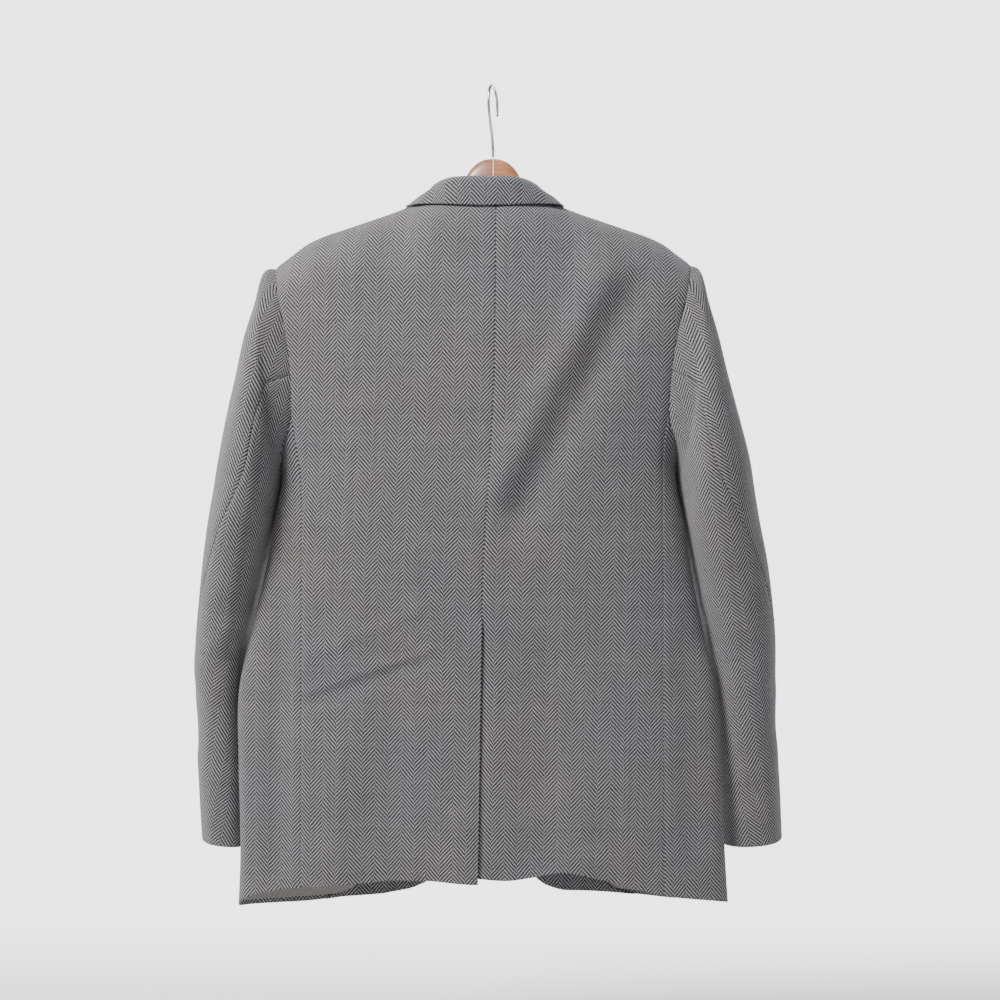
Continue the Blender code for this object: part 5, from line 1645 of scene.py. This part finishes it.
def satin_lining():
    """Grey viscose satin: long floats along the warp give a soft shine that breaks across it."""
    finish, tree, shader = new_finish(
        "satin_lining", Roughness=0.42, Specular_IOR_Level=0.45, Sheen_Weight=0.10, Anisotropic=0.35
    )
    place = node(tree, "ShaderNodeUVMap", uv_map="cloth").outputs[0]
    stretched = node(tree, "ShaderNodeMapping", {0: place, "Scale": (1.0, 0.06, 1.0)}).outputs[0]
    # Real floats are 0.1 mm apart; they are drawn at half a millimetre so that they show.
    floats = {"Vector": stretched, "Scale": 2000.0, "Detail": 1.0}
    floats = node(tree, "ShaderNodeTexNoise", floats).outputs[0]
    creased = {"Vector": place, "Scale": 16.0, "Detail": 3.0}
    creased = node(tree, "ShaderNodeTexNoise", creased).outputs[0]
    shade = node(tree, "ShaderNodeMapRange", {0: floats, 1: 0.3, 2: 0.7}).outputs[0]
    colour = {0: shade, 6: linear("5E5D5F"), 7: linear("767270")}
    colour = node(tree, "ShaderNodeMix", colour, data_type="RGBA")
    tree.links.new(colour.outputs[2], shader.inputs["Base Color"])
    total = {0: floats, 1: 0.02, 2: creased}
    total = node(tree, "ShaderNodeMath", total, operation="MULTIPLY_ADD").outputs[0]
    bump = node(tree, "ShaderNodeBump", {"Strength": 0.5, "Distance": 0.004, "Height": total})
    tree.links.new(bump.outputs[0], shader.inputs["Normal"])
    return finish


def polished_horn():
    """Dark polished horn: brown streaks deep in a smooth surface."""
    finish, tree, shader = new_finish("polished_horn", Roughness=0.30, IOR=1.54, Coat_Weight=0.15)
    solid = node(tree, "ShaderNodeTexCoord").outputs["Object"]
    stretched = node(tree, "ShaderNodeMapping", {0: solid, "Scale": (1.0, 1.0, 3.0)}).outputs[0]
    streak = {"Vector": stretched, "Scale": 160.0, "Detail": 4.0, "Distortion": 1.2}
    streak = node(tree, "ShaderNodeTexNoise", streak)
    ramp = node(tree, "ShaderNodeValToRGB", {0: streak.outputs[0]})
    ramp.color_ramp.elements[0].position = 0.38
    ramp.color_ramp.elements[0].color = linear("1E1713")
    ramp.color_ramp.elements[1].position = 0.68
    ramp.color_ramp.elements[1].color = linear("5A4433")
    tree.links.new(ramp.outputs[0], shader.inputs["Base Color"])
    scuff = node(tree, "ShaderNodeTexNoise", {"Vector": solid, "Scale": 900.0, "Detail": 3.0}).outputs[0]
    rough = node(tree, "ShaderNodeMapRange", {0: scuff, 1: 0.3, 2: 0.7, 3: 0.24, 4: 0.40}).outputs[0]
    tree.links.new(rough, shader.inputs["Roughness"])
    bump = node(tree, "ShaderNodeBump", {"Strength": 0.2, "Distance": 0.0001, "Height": scuff})
    tree.links.new(bump.outputs[0], shader.inputs["Normal"])
    return finish


def varnished_beech(name, pale, dark):
    """Steamed beech under satin varnish: fine grain along the arm with short dark flecks."""
    finish, tree, shader = new_finish(
        name, Roughness=0.42, IOR=1.5, Coat_Weight=0.25, Coat_Roughness=0.28
    )
    solid = node(tree, "ShaderNodeTexCoord").outputs["Object"]
    # Growth rings are 2 to 3 mm apart and run along the arm, flecks are 2 mm long.
    slow = node(tree, "ShaderNodeMapping", {0: solid, "Scale": (7.0, 150.0, 150.0)}).outputs[0]
    rings = {"Vector": slow, "Scale": 2.2, "Detail": 3.0, "Distortion": 0.6}
    rings = node(tree, "ShaderNodeTexNoise", rings).outputs[0]
    short = node(tree, "ShaderNodeMapping", {0: solid, "Scale": (420.0, 2400.0, 2400.0)}).outputs[0]
    fleck = node(tree, "ShaderNodeTexNoise", {"Vector": short, "Scale": 1.0, "Detail": 2.0}).outputs[0]
    mark = node(tree, "ShaderNodeMapRange", {0: fleck, 1: 0.60, 2: 0.72}).outputs[0]
    band = node(tree, "ShaderNodeMapRange", {0: rings, 1: 0.30, 2: 0.70}).outputs[0]
    colour = {0: band, 6: linear(dark), 7: linear(pale)}
    colour = node(tree, "ShaderNodeMix", colour, data_type="RGBA").outputs[2]
    share = node(tree, "ShaderNodeMath", {0: mark, 1: 0.35}, operation="MULTIPLY").outputs[0]
    colour = {0: share, 6: colour, 7: linear("5A3022")}
    colour = node(tree, "ShaderNodeMix", colour, data_type="RGBA").outputs[2]
    tree.links.new(colour, shader.inputs["Base Color"])
    rough = node(tree, "ShaderNodeMapRange", {0: band, 3: 0.38, 4: 0.50}).outputs[0]
    tree.links.new(rough, shader.inputs["Roughness"])
    bump = node(tree, "ShaderNodeBump", {"Strength": 0.25, "Distance": 0.0002, "Height": fleck})
    tree.links.new(bump.outputs[0], shader.inputs["Normal"])
    return finish


def drawn_steel():
    """Plated steel wire: bright, with faint lines from the die and a little dulling."""
    finish, tree, shader = new_finish("drawn_steel", Metallic=1.0, Roughness=0.30)
    solid = node(tree, "ShaderNodeTexCoord").outputs["Object"]
    worn = node(tree, "ShaderNodeTexNoise", {"Vector": solid, "Scale": 240.0, "Detail": 4.0}).outputs[0]
    colour = {0: worn, 6: linear("A9A6A0"), 7: linear("D2CFC8")}
    colour = node(tree, "ShaderNodeMix", colour, data_type="RGBA")
    tree.links.new(colour.outputs[2], shader.inputs["Base Color"])
    rough = node(tree, "ShaderNodeMapRange", {0: worn, 1: 0.3, 2: 0.7, 3: 0.22, 4: 0.38}).outputs[0]
    tree.links.new(rough, shader.inputs["Roughness"])
    lines = node(tree, "ShaderNodeTexNoise", {"Vector": solid, "Scale": 2600.0, "Detail": 1.0}).outputs[0]
    bump = node(tree, "ShaderNodeBump", {"Strength": 0.1, "Distance": 0.0001, "Height": lines})
    tree.links.new(bump.outputs[0], shader.inputs["Normal"])
    return finish


def silk_twist():
    """Charcoal buttonhole twist: tight, slightly shiny thread."""
    finish, tree, shader = new_finish("silk_twist", Roughness=0.55, Sheen_Weight=0.2)
    solid = node(tree, "ShaderNodeTexCoord").outputs["Object"]
    ply = node(tree, "ShaderNodeTexNoise", {"Vector": solid, "Scale": 1800.0, "Detail": 2.0}).outputs[0]
    colour = {0: ply, 6: linear("2B2B2F"), 7: linear("55545A")}
    colour = node(tree, "ShaderNodeMix", colour, data_type="RGBA")
    tree.links.new(colour.outputs[2], shader.inputs["Base Color"])
    bump = node(tree, "ShaderNodeBump", {"Strength": 0.4, "Distance": 0.0002, "Height": ply})
    tree.links.new(bump.outputs[0], shader.inputs["Normal"])
    return finish


def pale_plaster():
    """Matt pale plaster underfoot. Towards the bright wall it glows as much, so that no edge shows."""
    finish, tree, shader = new_finish("pale_plaster", Roughness=0.9, Specular_IOR_Level=0.2)
    solid = node(tree, "ShaderNodeTexCoord").outputs["Object"]
    trowel = node(tree, "ShaderNodeTexNoise", {"Vector": solid, "Scale": 3.0, "Detail": 3.0}).outputs[0]
    colour = {0: trowel, 6: linear("E6E5E3"), 7: linear("EFEEEC")}
    colour = node(tree, "ShaderNodeMix", colour, data_type="RGBA")
    tree.links.new(colour.outputs[2], shader.inputs["Base Color"])
    behind = node(tree, "ShaderNodeSeparateXYZ", {0: solid}).outputs[1]
    near, far = FLOOR_FADE
    share = {0: behind, 1: near, 2: far}
    share = node(tree, "ShaderNodeMapRange", share, interpolation_type="SMOOTHSTEP").outputs[0]
    glow = node(tree, "ShaderNodeEmission", {"Color": linear(ROOM), "Strength": WALL_LIGHT})
    both = node(tree, "ShaderNodeMixShader", {0: share, 1: shader.outputs[0], 2: glow.outputs[0]})
    tree.links.new(both.outputs[0], tree.nodes["Material Output"].inputs["Surface"])
    return finish


def pale_room():
    """Pale walls all round, bright to a little over head height, under a dimmer ceiling."""
    world = bpy.data.worlds.new("pale_room")
    world.use_nodes = True
    tree = world.node_tree
    way = node(tree, "ShaderNodeTexCoord").outputs["Generated"]
    split = node(tree, "ShaderNodeSeparateXYZ", {0: way})
    # The wall that the jacket's front faces is the brightest.
    bright, dim = WALL_TURN
    walls = {0: split.outputs[1], 1: bright, 2: dim, 3: WALL_LIGHT, 4: OPEN_LIGHT}
    walls = node(tree, "ShaderNodeMapRange", walls)
    low, high = CEILING_FROM
    inputs = {0: split.outputs[2], 1: low, 2: high, 3: walls.outputs[0], 4: CEILING_LIGHT}
    light = node(tree, "ShaderNodeMapRange", inputs, interpolation_type="SMOOTHSTEP").outputs[0]
    background = tree.nodes["Background"]
    background.inputs["Color"].default_value = linear(ROOM)
    tree.links.new(light, background.inputs["Strength"])
    return world


# ---------------------------------------------------------------- scene
def studio():
    """Pale floor and room, soft light from above one side and a weaker fill from the other."""
    half, low = FLOOR_HALF, FLOOR_Z
    mesh = bpy.data.meshes.new("floor")
    corners = [(-half, -half, low), (half, -half, low), (half, half, low), (-half, half, low)]
    mesh.from_pydata(corners, [], [(0, 1, 2, 3)])
    mesh.materials.append(pale_plaster())
    floor = linked("floor", mesh)
    bpy.context.scene.world = pale_room()
    for name, place, size, power, colour in LIGHTS:
        lamp = bpy.data.lights.new(name, "AREA")
        lamp.shape = "RECTANGLE"
        lamp.size, lamp.size_y = size
        lamp.energy = power
        lamp.color = linear(colour)[:3]
        light = linked(name, lamp)
        light.location = place
        aim = Vector(LIGHT_AIM) - Vector(place)
        light.rotation_mode = "QUATERNION"
        light.rotation_quaternion = aim.to_track_quat("-Z", "Y")
    lens = bpy.data.cameras.new("camera")
    lens.sensor_width = 36.0
    lens.lens = CAMERA_LENS
    camera = linked("camera", lens)
    camera.location = CAMERA_PLACE
    camera.rotation_euler = (math.radians(90), 0, math.radians(180))
    bpy.context.scene.camera = camera


def settle(piece, node_names):
    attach(piece, "root")
    if node_names:
        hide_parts(*node_names)


def main():
    """Makes every piece and puts it in place of the plain solids."""
    tweed = herringbone_tweed()
    silk = satin_lining()
    twist = silk_twist()
    horn = polished_horn()
    for side in (1, -1):
        name = side_name(side)
        front = ["front_" + name]
        settle(back_panel(side, tweed), ["back_" + name])
        settle(side_panel(side, tweed), ["side_" + name])
        settle(front_panel(side, tweed), front)
        settle(facing(side, tweed), ["facing_" + name])
        for piece, replaced in linings(side, silk):
            settle(piece, [replaced])
        for piece, replaced in sleeve(side, tweed):
            settle(piece, [replaced])
        settle(lapel(side, tweed), ["lapel_" + name])
        settle(pocket_flap(side, tweed), ["pocket_flap_" + name])
    settle(vent_underlap(tweed), [])
    settle(collar(tweed), ["collar"])
    seats = []
    numbers = ["front_%d" % i for i in (1, 2, 3)]
    numbers += ["cuff_%s_%d" % (name, i) for name in ("left", "right") for i in (1, 2, 3)]
    for number in numbers:
        seats.append(button_seat("button_" + number))
        disc = turned_button("horn_disc_" + number, seats[-1], horn)
        settle(disc, ["button_" + number])
    settle(button_threads("button_threads", seats, twist), [])
    settle(buttonholes(twist), [])
    left_wood = varnished_beech("varnished_beech_pink", "94604F", "70432F")
    right_wood = varnished_beech("varnished_beech_tan", "B57E5E", "93593C")
    settle(hanger_half(1, left_wood), ["hanger_left"])
    settle(hanger_half(-1, right_wood), ["hanger_right"])
    settle(hanger_hook(drawn_steel()), ["hanger_hook"])
    studio()


main()
